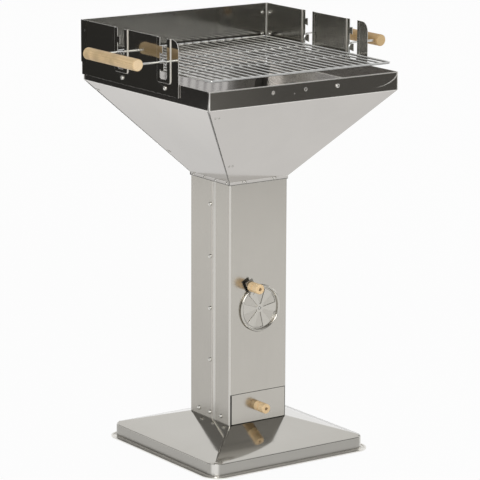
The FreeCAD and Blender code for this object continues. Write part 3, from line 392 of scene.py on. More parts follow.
inner_face, ends, results = new_group(
    "inner_face", [("Normal", "Vector", None), ("Vector", "Vector", None)], [("Inside", "Float")])
tree = inner_face
flat = vector(tree, "MULTIPLY", ends["Vector"], (1.0, 1.0, 0.0))
away = vector(tree, "DOT_PRODUCT", ends["Normal"], flat)
tree.links.new(calc(tree, "LESS_THAN", away, -0.1), results["Inside"])

round_mark, ends, results = new_group(
    "round_mark", [("Vector", "Vector", None), ("Middle", "Vector", (0.0, 0.0, 0.0)),
                   ("Radius", "Float", 0.004), ("Softness", "Float", 0.0006)], [("Inside", "Float")])
tree = round_mark
aside = vector(tree, "SUBTRACT", ends["Vector"], ends["Middle"])
reach = vector(tree, "LENGTH", vector(tree, "MULTIPLY", aside, (1.0, 0.0, 1.0)))
edge = calc(tree, "ADD", ends["Radius"], ends["Softness"])
tree.links.new(remap(tree, reach, edge, ends["Radius"]), results["Inside"])
print("groups", corner_fold.name, step_side.name, field_outline.name, inner_face.name, round_mark.name)

# %% [markdown]
# ## Steel finishes
#
# One recipe serves every steel finish: a metal whose tone, gloss and flatness vary with the sheet marks. What
# differs is how bright it is, how sharp its mirror image is and which way its rolling lines run. The lines
# are turned by swapping coordinates: the column's and the funnel's run upright, the base's and the
# windscreen's run sideways. A finish may add a mask of painted highlights, which are lighter and less sharp,
# masks of painted shade, which are darker and have their own roughness, and a dish, a
# height in metres that bends its mirror images without bending the sheet much.

# %% Steel recipe
UPRIGHT, SIDEWAYS = (0, 0, 0), (0, math.pi / 2, 0)
# Colour and roughness of the painted highlights.
PAINTED_HIGHLIGHT_COLOR, PAINTED_HIGHLIGHT_ROUGHNESS = (0.88, 0.86, 0.82, 1), 0.42
CLOUD_DEPTH = 0.16


def steel(name, color, gloss, lines, wave, turn=UPRIGHT, fineness=900.0, cloud=5.0, painted_highlight=None, painted_shade_places=(),
          dish=None):
    """Sheet steel: colour, (roughness, its spread), strength of lines, height of waves in metres and direction
    of the lines; painted highlight mask, painted shade places (mask, share of the colour left, roughness) and
    dish."""
    material, tree = new_material(name)
    where = put(tree, "TexCoord").outputs["Object"]
    place = put(tree, "Mapping", {"Vector": where, "Rotation": turn}).outputs[0]
    marks = placed(tree, sheet_marks, {"Vector": place, "Fineness": fineness, "Cloud size": cloud})
    drawn = times(tree, calc(tree, "SUBTRACT", marks["Lines"], 0.5), lines)
    clouded = times(tree, calc(tree, "SUBTRACT", marks["Cloud"], 0.5), CLOUD_DEPTH)
    shade = scaled(tree, color, calc(tree, "ADD", 1.0, calc(tree, "ADD", drawn, clouded)))
    rough = calc(tree, "ADD", times(tree, marks["Cloud"], gloss[1]), gloss[0] - gloss[1] / 2)
    rough = calc(tree, "ADD", rough, times(tree, marks["Smudge"], gloss[1]))
    for place_mask, share, roughness in painted_shade_places:
        mask = place_mask(tree, where)
        shade = tint(tree, mask, shade, scaled(tree, shade, share))
        rough = put(tree, "Mix", {0: mask, 2: rough, 3: roughness}).outputs[0]
    if painted_highlight:
        mask = painted_highlight(tree, where)
        shade = tint(tree, mask, shade, PAINTED_HIGHLIGHT_COLOR)
        rough = put(tree, "Mix", {0: mask, 2: rough, 3: PAINTED_HIGHLIGHT_ROUGHNESS}).outputs[0]
    height = times(tree, marks["Wave"], wave)
    if dish:
        height = calc(tree, "ADD", height, dish(tree, where))
    flat = put(tree, "Bump", {"Height": height, "Distance": 1.0, "Strength": 1.0}).outputs[0]
    metal = put(tree, "BsdfPrincipled", {
        "Base Color": shade, "Metallic": 1.0, "Roughness": rough, "Normal": flat})
    put(tree, "OutputMaterial", {"Surface": metal.outputs[0]})
    return material


print("steel recipe ready")

# %% [markdown]
# The column is folded twice, and its front half is joggled on both sides so that the rear half can lap over
# it flush. That long shallow ramp and the folds at the front left and rear right get painted highlights. The
# folds at its other corners get a painted dark reflection, and its sides get painted shade that grows towards
# the foot.

# %% Masks of the column
COLUMN_HALF, COLUMN_BAND = 0.0765, 0.0042
COLUMN_FLANGE, COLUMN_FACE = 0.07, 0.0755
JOGGLE_FRONT, JOGGLE_REAR = -0.0225, -0.0095
FOLD_SHINE, RAMP_SHINE, LAP_SHINE = 0.36, 0.38, 0.5
SIDE_SHADE_TOP, SIDE_SHADE_FOOT = 0.6, 0.15


def column_painted_highlight(tree, where):
    """Painted highlights on the corner folds at the front left and the rear right, and on the ramps and laps
    of the seams.
    """
    spot = axes(tree, where)
    fold = placed(tree, corner_fold, {"Vector": where, "Half width": COLUMN_HALF, "Band": COLUMN_BAND})
    near = calc(tree, "GREATER_THAN", times(tree, spot["X"], spot["Y"]), 0.0)
    ramp = times(tree, remap(tree, spot["Y"], JOGGLE_FRONT - 0.001, JOGGLE_FRONT + 0.002),
                 remap(tree, spot["Y"], JOGGLE_REAR, JOGGLE_REAR - 0.003), RAMP_SHINE)
    lap = remap(tree, apart(tree, spot["Y"], JOGGLE_REAR - 0.001), 0.0028, 0.0016, 0.0, LAP_SHINE)
    flange = calc(tree, "GREATER_THAN", apart(tree, spot["X"]), COLUMN_FLANGE)
    seam = times(tree, highest(tree, ramp, lap), flange)
    return highest(tree, times(tree, fold["Fold"], near, FOLD_SHINE), seam)


def column_fold_painted_reflection(tree, where):
    """Painted dark reflection on the column's corner folds that turn away to the sides."""
    spot = axes(tree, where)
    fold = placed(tree, corner_fold, {"Vector": where, "Half width": COLUMN_HALF, "Band": 0.6 * COLUMN_BAND})
    return times(tree, fold["Fold"], calc(tree, "LESS_THAN", times(tree, spot["X"], spot["Y"]), 0.0))


def column_side_painted_shade(tree, where):
    """Painted shade on the side faces of the column, more towards the foot."""
    spot = axes(tree, where)
    side = calc(tree, "GREATER_THAN", apart(tree, spot["X"]), COLUMN_FACE)
    return times(tree, side, remap(tree, spot["Z"], SIDE_SHADE_TOP, SIDE_SHADE_FOOT))


print("column folds", COLUMN_BAND, "m wide")

# %% [markdown]
# The rim gets painted highlights on its folds in the corners, along its top and where it turns into the
# slope, lighter rings round its holes and a painted curved reflection at its right end. Below, painted shade
# draws a dark line on the side panels beside the corner seams, and along the lower edge of the collar. The
# sizes in the masks are the sheet's own, in metres.

# %% Masks of the funnel
RIM_HALF, RIM_BAND = 0.246, 0.0024
RIM_FACE, RIM_INSIDE = -0.2455, -0.24
RIM_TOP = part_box("funnel_front")[1][2]
RIM_FOLD = RIM_TOP - 0.040
RIM_RINGS = ((-0.084, 0.834, 0.0042), (0.0, 0.834, 0.0042), (-0.0285, 0.8275, 0.0012))
RIM_SHINE, RING_SHINE, ARC_REFLECTION_SHINE = 0.6, 0.55, 0.7
ARC_REFLECTION_MIDDLE, ARC_REFLECTION_SIZE = (0.17, 0.85), (0.075, 0.031)
SLOPE_SHADE_LEVEL = 0.66
THROAT_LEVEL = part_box("column_front")[1][2]
SEAM_LOW, SEAM_HIGH = 0.0042, 0.0084


def rim_painted_reflection_arc(tree, spot):
    """Painted reflection: part of an ellipse on the rim's front, stronger towards its right end."""
    along, drop = (calc(tree, "DIVIDE", calc(tree, "SUBTRACT", spot[axis], middle), size)
                   for axis, middle, size in zip("XZ", ARC_REFLECTION_MIDDLE, ARC_REFLECTION_SIZE))
    arc = calc(tree, "SQRT", calc(tree, "ADD", times(tree, along, along), times(tree, drop, drop)))
    line = remap(tree, apart(tree, arc, 1.0), 0.045, 0.012)
    return times(tree, line, remap(tree, along, 0.0, 0.75, 0.0, ARC_REFLECTION_SHINE))


def rim_painted_highlight(tree, where):
    """Painted highlights on corner folds, front top edge and fold below; lighter rings at holes; a painted
    reflection.
    """
    spot = axes(tree, where)
    front = calc(tree, "LESS_THAN", spot["Y"], RIM_FACE)
    fold = placed(tree, corner_fold, {"Vector": where, "Half width": RIM_HALF, "Band": RIM_BAND})["Fold"]
    fold = times(tree, fold, remap(tree, spot["Z"], RIM_FOLD - 0.001, RIM_FOLD + 0.001))
    top = times(tree, remap(tree, spot["Z"], RIM_TOP - 0.0028, RIM_TOP - 0.0018),
                calc(tree, "LESS_THAN", spot["Y"], RIM_INSIDE), RIM_SHINE)
    below = remap(tree, apart(tree, spot["Z"], RIM_FOLD), 0.0016, 0.0006, 0.0, RIM_SHINE)
    rings = [placed(tree, round_mark, {"Vector": where, "Middle": (x, 0.0, z), "Radius": radius})["Inside"]
             for x, z, radius in RIM_RINGS]
    rings = times(tree, highest(tree, *rings), RING_SHINE, front)
    return highest(tree, fold, top, rings, times(tree, rim_painted_reflection_arc(tree, spot), front), below)


def inner_painted_shade(tree, where):
    """Painted shade on the inner faces of the windscreen and the funnel."""
    return placed(tree, inner_face, {"Normal": true_normal(tree), "Vector": where})["Inside"]


def right_inner_painted_shade(tree, where):
    """Painted shade on the inner face of the funnel's right panel."""
    spot = axes(tree, where)
    return times(tree, inner_painted_shade(tree, where), calc(tree, "GREATER_THAN", spot["X"], apart(tree, spot["Y"])))


def funnel_side_painted_shade(tree, where):
    """Painted shade on the side slopes of the funnel, more towards the throat."""
    spot = axes(tree, where)
    side = calc(tree, "GREATER_THAN", apart(tree, spot["X"]), apart(tree, spot["Y"]))
    return times(tree, side, remap(tree, spot["Z"], RIM_FOLD, SLOPE_SHADE_LEVEL))


def funnel_seam_painted_shade(tree, where):
    """Painted shade beside the corner seams on the side panels, and along the lower edge of the collar."""
    spot = axes(tree, where)
    inside = calc(tree, "SUBTRACT", apart(tree, spot["X"]), apart(tree, spot["Y"]))
    width = put(tree, "MapRange", {"Value": spot["Z"], "From Min": THROAT_LEVEL, "From Max": RIM_FOLD,
                                   "To Min": SEAM_LOW, "To Max": SEAM_HIGH}).outputs[0]
    seam = times(tree, calc(tree, "GREATER_THAN", inside, 0.0), calc(tree, "LESS_THAN", inside, width),
                 calc(tree, "LESS_THAN", spot["Z"], RIM_FOLD - 0.001))
    return highest(tree, seam, remap(tree, spot["Z"], THROAT_LEVEL - 0.005, THROAT_LEVEL - 0.006))


print("rim folds at", round(RIM_FOLD, 4), "m")

# %% [markdown]
# The windscreen's walls have raised fields whose outlines and sheared edges get painted highlights, and the
# front edges of the posts outside its corners get painted shade. The vent's disc ends in a rolled bead with
# painted shade in the groove inside it, and its lug gets painted shade where it stands out past the disc.

# %% Masks of the windscreen and the vent
FIELD_MIDDLES, FIELD_FOOT, FIELD_SHINE = (-0.08025, 0.08625), RIM_TOP - 0.0025, 0.6
POST_BACK = 0.235
VENT_MIDDLE, VENT_DISC = (0.003, 0.0, 0.324), 0.0485
BEAD_GROOVE = (0.0447, 0.0438)


def post_edge_painted_shade(tree, where):
    """Painted shade on the front edges of the corner posts, which lie flat on the walls."""
    side = placed(tree, step_side, {"Normal": true_normal(tree)})["Side"]
    return times(tree, side, calc(tree, "LESS_THAN", axes(tree, where)["Y"], POST_BACK))


def rear_painted_highlight(tree, where):
    """Painted highlights on the sheared edges of the rear wall."""
    return placed(tree, step_side, {"Normal": true_normal(tree), "Wall": (0.0, 1.0, 0.0)})["Side"]


def side_painted_highlight(tree, where):
    """Painted highlights on a side wall's pressed steps, sheared edges and the outlines of its raised fields.
    """
    lines = [placed(tree, field_outline, {"Vector": where, "Middle": middle, "Foot": FIELD_FOOT})["Line"]
             for middle in FIELD_MIDDLES]
    steps = placed(tree, step_side, {"Normal": true_normal(tree), "Wall": (1.0, 0.0, 0.0)})["Side"]
    return highest(tree, steps, times(tree, highest(tree, *lines), FIELD_SHINE))


def round_vent(tree, where, radius, softness):
    """Places within a radius of the vent's axis."""
    return placed(tree, round_mark, {
        "Vector": where, "Middle": VENT_MIDDLE, "Radius": radius, "Softness": softness})["Inside"]


def lug_end_painted_shade(tree, where):
    """Painted shade on the part of the vent's lug that stands out past the disc."""
    return calc(tree, "SUBTRACT", 1.0, round_vent(tree, where, VENT_DISC, 0.0001))


def bead_groove(tree, where):
    """Shade in the groove inside the vent's bead."""
    outer, inner = (round_vent(tree, where, radius, 0.0003) for radius in BEAD_GROOVE)
    return calc(tree, "SUBTRACT", outer, inner)


print("vent's groove", round(BEAD_GROOVE[0] - BEAD_GROOVE[1], 4), "m wide")

# %% [markdown]
# The base is deep drawn: its upright sides are rougher and get painted shade, its corners and its lip get
# painted highlights, and its top leans over a little towards the edge, which bends the mirror image of the
# column.

# %% Masks of the base
BASE_HALF, BASE_EDGE, BASE_LIP = 0.20425, 0.031, 0.005
BASE_CORNER, BEND_SHINE, LIP_SHINE = 0.017, 0.65, 0.7
LEAN, LEAN_WIDTH = 0.18, 0.045


def skirt(tree, where):
    """Mask of the base's upright sides."""
    level = axes(tree, where)["Z"]
    return times(tree, remap(tree, level, BASE_LIP - 0.0015, BASE_LIP),
                 remap(tree, level, BASE_EDGE - 0.001, BASE_EDGE - 0.004))


def base_painted_highlight(tree, where):
    """Painted highlights on the upright corners of the base and on its lip on the floor."""
    bend = placed(tree, corner_fold, {"Vector": where, "Half width": BASE_HALF, "Band": BASE_CORNER})["Fold"]
    lip = remap(tree, axes(tree, where)["Z"], BASE_LIP, BASE_LIP - 0.0015, 0.0, LIP_SHINE)
    return highest(tree, times(tree, bend, skirt(tree, where), BEND_SHINE), lip)


def base_lean(tree, where):
    """Height that tips the base's top over towards its edge."""
    spot = axes(tree, where)
    reach = highest(tree, apart(tree, spot["X"]), apart(tree, spot["Y"]))
    share = calc(tree, "DIVIDE", calc(tree, "SUBTRACT", BASE_HALF, reach), LEAN_WIDTH, clamp=True)
    rest = calc(tree, "SUBTRACT", 1.0, share)
    return times(tree, rest, rest, -LEAN * LEAN_WIDTH / 2)


print("base leans by", LEAN, "at its edge")

# %% [markdown]
# With the masks at hand, each finish is one line or two: a colour, a gloss with its spread, the strength of
# the lines, the height of the waves, and the masks that belong to the piece. The drawer's inside is nearly
# black, painted shade, and so are the strips behind the funnel's corners; the hooks are plated brighter than
# the grate, and the rivets are between zinc and plain steel.

# %% Steel finishes
# On the base's upright sides the sheet is rougher from deep drawing, and darker by painted shade.
base_sheet = steel("base_sheet", (0.508, 0.492, 0.456), (0.1, 0.07), 0.06, 0.0004, SIDEWAYS,
                   painted_highlight=base_painted_highlight, painted_shade_places=[(skirt, 0.73, 0.28)], dish=base_lean)
column_sheet = steel("column_sheet", (0.495, 0.474, 0.432), (0.2, 0.08), 0.12, 0.0004, painted_highlight=column_painted_highlight,
                     painted_shade_places=[(column_side_painted_shade, 0.86, 0.2), (column_fold_painted_reflection, 0.5, 0.25)])
funnel_sheet = steel("funnel_sheet", (0.528, 0.507, 0.482), (0.075, 0.05), 0.05, 0.0003, painted_highlight=rim_painted_highlight,
                     painted_shade_places=[(inner_painted_shade, 0.98, 0.15), (right_inner_painted_shade, 0.97, 0.25), (funnel_side_painted_shade, 0.88, 0.09),
                           (funnel_seam_painted_shade, 0.16, 0.35)])
side_wall_sheet = steel("side_wall_sheet", (0.49, 0.476, 0.436), (0.06, 0.05), 0.12, 0.0004, SIDEWAYS,
                        painted_highlight=side_painted_highlight, painted_shade_places=[(inner_painted_shade, 0.8, 0.2)])
rear_wall_sheet = steel("rear_wall_sheet", (0.45, 0.44, 0.405), (0.06, 0.05), 0.2, 0.0004, SIDEWAYS,
                        painted_highlight=rear_painted_highlight, painted_shade_places=[(inner_painted_shade, 0.47, 0.13)])
post_sheet = steel("post_sheet", (0.45, 0.44, 0.405), (0.07, 0.05), 0.1, 0.0003, painted_shade_places=[(post_edge_painted_shade, 0.1, 0.3)])
seam_sheet = steel("seam_sheet", (0.11, 0.105, 0.095), (0.45, 0.1), 0.2, 0.0002)
inner_sheet = steel("inner_sheet", (0.42, 0.41, 0.38), (0.3, 0.1), 0.1, 0.0003)
# Painted shade: the drawer's inside and the edges of its front are nearly black, the shade in the gap.
painted_shade_sheet = steel("painted_shade_sheet", (0.1, 0.097, 0.09), (0.45, 0.1), 0.1, 0.0002)
vent_sheet = steel("vent_sheet", (0.54, 0.52, 0.475), (0.16, 0.06), 0.06, 0.0002,
                   painted_shade_places=[(bead_groove, 0.4, 0.3)])
lug_sheet = steel("lug_sheet", (0.54, 0.52, 0.475), (0.16, 0.06), 0.06, 0.0001, painted_shade_places=[(lug_end_painted_shade, 0.5, 0.4)])
# Painted highlight: the lighter steel of the bevels along the sheet's edges.
painted_edge_highlight = steel("painted_edge_highlight", (0.78, 0.76, 0.72), (0.3, 0.1), 0.1, 0.0)
zinc_plate = steel("zinc_plate", (0.64, 0.63, 0.6), (0.2, 0.08), 0.1, 0.0, fineness=2500.0, cloud=90.0)
rivet_plate = steel("rivet_plate", (0.52, 0.51, 0.48), (0.22, 0.1), 0.1, 0.0, fineness=2500.0, cloud=90.0)
wire_chrome = steel("wire_chrome", (0.59, 0.59, 0.575), (0.1, 0.06), 0.05, 0.0, fineness=2000.0, cloud=40.0)
hook_chrome = steel("hook_chrome", (0.68, 0.68, 0.66), (0.15, 0.08), 0.05, 0.0, fineness=2000.0, cloud=40.0)
fire_iron = steel("fire_iron", (0.07, 0.065, 0.06), (0.5, 0.2), 0.2, 0.0002, fineness=600.0, cloud=30.0)
print(len(bpy.data.materials), "materials so far")

# %% [markdown]
# ## Wood
#
# The handles and knobs are plain turned beech: pale, with fine brown flecks along the grain, growth rings cut
# into long bands, some darker patches, and a lighter, dotted end. All of them lie along Y, so one group
# stretches its noise along Y. The same three-dimensional pattern then gives long fibres on the sides and dots
# on the ends, as in a real piece of wood. The rings are drawn round an axis far off, as if each piece came
# from the edge of a board.

# %% Wood grain group
wood_grain, ends, results = new_group(
    "wood_grain", [("Vector", "Vector", None)],
    [("Rings", "Float"), ("Fibres", "Float"), ("Flecks", "Float"), ("Patches", "Float")])
tree = wood_grain


def along_grain(share):
    """Coordinates with the length of the grain pressed together."""
    return vector(tree, "MULTIPLY", ends["Vector"], (1.0, share, 1.0))


rings = put(tree, "TexWave", {"Vector": along_grain(0.12), "Scale": 85.0, "Distortion": 5.0, "Detail": 2.0,
                              "Detail Scale": 0.35}, wave_type="RINGS", rings_direction="Y")
fibres = put(tree, "TexNoise", {"Vector": along_grain(0.03), "Scale": 1400.0, "Detail": 2.0})
flecks = put(tree, "TexNoise", {"Vector": along_grain(0.14), "Scale": 1100.0, "Detail": 1.0})
patches = put(tree, "TexNoise", {"Vector": along_grain(0.35), "Scale": 34.0, "Detail": 3.0,
                                 "Distortion": 0.5})
tree.links.new(rings.outputs["Fac"], results["Rings"])
tree.links.new(fibres.outputs["Fac"], results["Fibres"])
tree.links.new(remap(tree, flecks.outputs["Fac"], 0.58, 0.7), results["Flecks"])
tree.links.new(remap(tree, patches.outputs["Fac"], 0.44, 0.7), results["Patches"])
print("group", wood_grain.name, "with", len(wood_grain.nodes), "nodes")

# %% [markdown]
# The left handle has a few soft knots, the right one is darker wood, and the knobs have a drilled hole in the
# end, with painted shade in it. One recipe takes the colours and, where a piece has them, the places of its
# knots and of the painted shade in its holes.

# %% Beech
def beech(name, pale_color, deep_color, end_color, knots=(), bore_shades=()):
    """Beech that lies along Y, lighter on its cut ends; knots are (x, y, z, radius), and painted shade in
    drilled holes is (x, z, radius).
    """
    material, tree = new_material(name)
    where = put(tree, "TexCoord").outputs["Object"]
    grain = placed(tree, wood_grain, {"Vector": where})
    deep, patch, fleck = (shaded(deep_color, share) for share in (1.0, 0.72, 0.45))
    side = tint(tree, times(tree, grain["Rings"], 0.6), shaded(pale_color), deep)
    side = tint(tree, times(tree, grain["Fibres"], 0.3), side, deep)
    side = tint(tree, times(tree, grain["Patches"], 0.6), side, patch)
    for *heart, radius in knots:
        ragged = times(tree, calc(tree, "SUBTRACT", grain["Patches"], 0.5), 0.5 * radius)
        ragged = calc(tree, "ADD", vector(tree, "DISTANCE", where, heart), ragged)
        side = tint(tree, remap(tree, ragged, radius, 0.0, 0.0, 0.6), side, patch)
    cut = remap(tree, apart(tree, axes(tree, true_normal(tree))["Y"]), 0.75, 0.95)
    end = tint(tree, times(tree, grain["Rings"], 0.25), shaded(end_color), deep)
    color = tint(tree, times(tree, grain["Flecks"], 0.3), tint(tree, cut, side, end), fleck)
    for x, z, radius in bore_shades:
        level = vector(tree, "MULTIPLY", where, (1.0, 0.0, 1.0))
        reach = vector(tree, "DISTANCE", level, (x, 0.0, z))
        color = tint(tree, remap(tree, reach, 1.15 * radius, 0.9 * radius, 0.0, 0.85), color, fleck)
    rough = calc(tree, "ADD", 0.5, times(tree, grain["Fibres"], 0.2))
    relief = put(tree, "Bump", {"Height": grain["Fibres"], "Distance": 0.00015, "Strength": 0.6}).outputs[0]
    shader = put(tree, "BsdfPrincipled", {"Base Color": color, "Roughness": rough, "Normal": relief})
    put(tree, "OutputMaterial", {"Surface": shader.outputs[0]})
    return material


def middle_of(name):
    """Middle of a node's box."""
    low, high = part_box(name)
    return [(a + b) / 2 for a, b in zip(low, high)]


x, y, z = middle_of("handle_dowel_left")
LEFT_KNOTS = [(x - 0.011, y + 0.047, z - 0.002, 0.019), (x - 0.01, y + 0.085, z - 0.004, 0.013),
              (x - 0.011, y - 0.012, z - 0.003, 0.015)]
# Painted shade in the drilled holes of the knobs.
KNOB_BORE_SHADES = [(middle_of(name)[0], middle_of(name)[2], 0.0035) for name in ("drawer_knob", "vent_knob")]
left_dowel_beech = beech("left_dowel_beech", (0.83, 0.63, 0.365), (0.65, 0.45, 0.23), (0.92, 0.71, 0.45),
                         knots=LEFT_KNOTS)
right_dowel_beech = beech("right_dowel_beech", (0.68, 0.46, 0.22), (0.5, 0.31, 0.13), (0.7, 0.5, 0.26))
knob_beech = beech("knob_beech", (0.95, 0.73, 0.45), (0.84, 0.6, 0.33), (0.9, 0.65, 0.37), bore_shades=KNOB_BORE_SHADES)
print("woods:", left_dowel_beech.name, right_dowel_beech.name, knob_beech.name)

# %% [markdown]
# ## Dressing the frame
#
# The CAD meshes come in with their faces split along sharp edges. A small geometry node tree joins the points
# again, marks only real edges as sharp and gives the longer of them a bevel weight, so that a bevel rounds
# the sheet's edges by a fraction of a millimetre but leaves the rims of small holes alone. The bevel's faces
# take a second steel, mostly a lighter one that paints a highlight along the edge. Without that thin line of
# light, sheet looks like card. Only the drawer's front has dark edges, painted shade in the gap round it.
# Last, weighted normals keep the large faces flat.

# %% Joined sheet
EDGE_ANGLE = math.radians(32)
SHORT_EDGE = 0.0016

joined = bpy.data.node_groups.new("joined_sheet", "GeometryNodeTree")
joined.interface.new_socket("Geometry", in_out="INPUT", socket_type="NodeSocketGeometry")
joined.interface.new_socket("Geometry", in_out="OUTPUT", socket_type="NodeSocketGeometry")
chain = [joined.nodes.new(kind) for kind in (
    "NodeGroupInput", "GeometryNodeRemoveAttribute", "GeometryNodeMergeByDistance",
    "GeometryNodeSetShadeSmooth", "GeometryNodeSetShadeSmooth", "GeometryNodeStoreNamedAttribute",
    "NodeGroupOutput")]
for before, after in zip(chain, chain[1:]):
    joined.links.new(before.outputs[0], after.inputs[0])
_, forget, weld, _, edges, weights, _ = chain
forget.inputs["Name"].default_value = "custom_normal"
weld.inputs["Distance"].default_value = 1e-6
edges.domain = weights.domain = "EDGE"
weights.data_type = "FLOAT"
weights.inputs["Name"].default_value = "bevel_weight_edge"
angle = joined.nodes.new("GeometryNodeInputMeshEdgeAngle").outputs["Unsigned Angle"]
ends = joined.nodes.new("GeometryNodeInputMeshEdgeVertices").outputs
length = joined.nodes.new("ShaderNodeVectorMath")
length.operation = "DISTANCE"
joined.links.new(ends["Position 1"], length.inputs[0])
joined.links.new(ends["Position 2"], length.inputs[1])


def compared(value, operation, limit):
    """Yes or no for each edge: its value against a limit."""
    node = joined.nodes.new("FunctionNodeCompare")
    node.operation = operation
    node.inputs[1].default_value = limit
    joined.links.new(value, node.inputs[0])
    return node.outputs[0]


both = joined.nodes.new("FunctionNodeBooleanMath")
joined.links.new(compared(angle, "GREATER_THAN", EDGE_ANGLE), both.inputs[0])
joined.links.new(compared(length.outputs["Value"], "GREATER_THAN", SHORT_EDGE), both.inputs[1])
joined.links.new(both.outputs[0], weights.inputs["Value"])
joined.links.new(compared(angle, "LESS_THAN", EDGE_ANGLE), edges.inputs["Shade Smooth"])
print("geometry nodes", joined.name, "with", len(joined.nodes), "nodes")

# %% [markdown]
# Now each piece gets its finish. The list runs from the base up to the windscreen, and then takes the angles
# and the drawer inside, the grates, the vent, the wood and the small fittings. A call names the pieces, their
# finish and, for most sheet, the finish and the width of its edges. Wire and wood have no such edges.

# %% Dress the nodes
def dress(names, finish, edge=None, width=0.0003):
    """Give CAD nodes a finish, joined points and, where an edge finish is named, soft edges."""
    for name in names:
        piece = nodes[name]
        piece.data.materials.clear()
        piece.data.materials.append(finish)
        piece.modifiers.new("joined", "NODES").node_group = joined
        if edge:
            piece.data.materials.append(edge)
            bevel = piece.modifiers.new("edge", "BEVEL")
            bevel.limit_method = "WEIGHT"
            bevel.width = width
            bevel.segments = 2
            bevel.material = 1
            piece.modifiers.new("flats", "WEIGHTED_NORMAL").keep_sharp = True


SIDES = ("left", "right")
dress(["base_tray"], base_sheet, base_sheet, 0.0011)
dress(["column_front", "column_rear"], column_sheet, painted_edge_highlight, 0.0002)
dress(["drawer_front"], column_sheet, painted_shade_sheet, 0.0005)
dress([f"funnel_{side}" for side in ("front", "rear", *SIDES)], funnel_sheet, painted_edge_highlight)
dress([f"windscreen_{side}" for side in SIDES], side_wall_sheet, painted_edge_highlight)
dress(["windscreen_rear"], rear_wall_sheet, painted_edge_highlight)
dress([f"corner_post_{side}" for side in SIDES], post_sheet)
dress([f"corner_strip_{row}_{side}" for row in ("front", "rear") for side in SIDES], seam_sheet)
dress([f"foot_angle_{side}" for side in (*SIDES, "rear")], inner_sheet, painted_edge_highlight)
dress([f"drawer_guide_{side}" for side in SIDES] + ["drawer_tray"], painted_shade_sheet)
dress(["cooking_grate"], wire_chrome)
dress(["grate_hook_front", "grate_hook_rear"], hook_chrome)
dress(["charcoal_grate"], fire_iron)
dress(["vent_disc"], vent_sheet, painted_edge_highlight, 0.0002)
dress(["vent_lug"], lug_sheet, painted_edge_highlight, 0.0001)
dress(["handle_dowel_left"], left_dowel_beech)
dress(["handle_dowel_right"], right_dowel_beech)
dress(["vent_knob", "drawer_knob"], knob_beech)
dress(["windscreen_spacers", "vent_knob_screw", "drawer_knob_screw"], zinc_plate)
print("dressed", sum(len(o.data.materials) > 0 for o in nodes.values()), "nodes")

# %% [markdown]
# ## Turned and stamped parts
#
# Screws, rivets and nuts are small turned parts. Each could be drawn by hand, but a profile turned round an
# axis gives them all, as a lathe would. The helper below turns a list of (radius, height) points. A radius
# may also change with the angle, which makes the six flats of a nut.

# %% Lathe
def turned(body, profile, segments=32, radius_at=None):
    """Turn a profile of (radius, height) points round Z; radius_at(radius, angle) may shape it."""
    loops = []
    for radius, level in profile:
        if radius == 0:
            loops.append([body.verts.new((0, 0, level))] * segments)
            continue
        loop = []
        for k in range(segments):
            angle = 2 * math.pi * k / segments
            size = radius_at(radius, angle) if radius_at else radius
            loop.append(body.verts.new((size * math.cos(angle), size * math.sin(angle), level)))
        loops.append(loop)
    for low, high in zip(loops, loops[1:]):
        for k in range(segments):
            ring = [low[k], low[(k + 1) % segments], high[(k + 1) % segments], high[k]]
            corners = list(dict.fromkeys(ring))
            if len(corners) > 2:
                body.faces.new(corners)


def stamp(body, mesh, spot, axis, scale=1.0):
    """Add a copy of a mesh that stands on a spot along an axis."""
    before = len(body.verts)
    body.from_mesh(mesh)
    body.verts.ensure_lookup_table()
    turn = Vector((0, 0, 1)).rotation_difference(Vector(axis)).to_matrix().to_4x4()
    move = Matrix.Translation(Vector(spot)) @ turn @ Matrix.Scale(scale, 4)
    bmesh.ops.transform(body, matrix=move, verts=body.verts[before:])


def mesh_of(body, name):
    """Mesh data from a finished bmesh, with its faces turned outwards."""
    bmesh.ops.recalc_face_normals(body, faces=body.faces)
    mesh = bpy.data.meshes.new(name)
    body.to_mesh(mesh)
    body.free()
    return mesh


def stamp_turned(body, profile, segments, spot, axis, radius_at=None):
    """Turn a profile and add it to a body, on a spot along an axis."""
    blank = bmesh.new()
    turned(blank, profile, segments, radius_at)
    mesh = mesh_of(blank, "blank")
    stamp(body, mesh, spot, axis)
    bpy.data.meshes.remove(mesh)


def new_piece(name, mesh, finish, body):
    """Object for a piece of our own that rides on a body of the grill."""
    mesh.materials.clear()
    mesh.materials.append(finish)
    piece = bpy.data.objects.new(name, mesh)
    bpy.context.scene.collection.objects.link(piece)
    piece.modifiers.new("joined", "NODES").node_group = joined
    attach(piece, body)
    return piece


print("lathe ready")

# %% [markdown]
# ## Pan head screws
#
# The grill is put together with pan head screws that have a cross recess. The head is turned, and the recess
# is cut with two tapered bars by a Boolean, once, into a single mesh that all the screws share. A row of the
# recess is its level above the head's top, half its length and half its width.

# %% Screw head
HEAD_RADIUS, HEAD_HEIGHT, HEAD_ROUND = 0.0045, 0.003, 0.0021
RECESS_ROWS = ((-0.0019, 0.0011, 0.0004), (0.0004, 0.0026, 0.0007))


def head_profile():
    """Pan head from its underside to the middle of its top."""
    points = [(0.0, 0.0), (HEAD_RADIUS, 0.0)]
    for k in range(7):
        angle = math.pi / 2 * k / 6
        points.append((HEAD_RADIUS - HEAD_ROUND * (1 - math.cos(angle)),
                       HEAD_HEIGHT - HEAD_ROUND * (1 - math.sin(angle))))
    return points + [(0.0, HEAD_HEIGHT)]


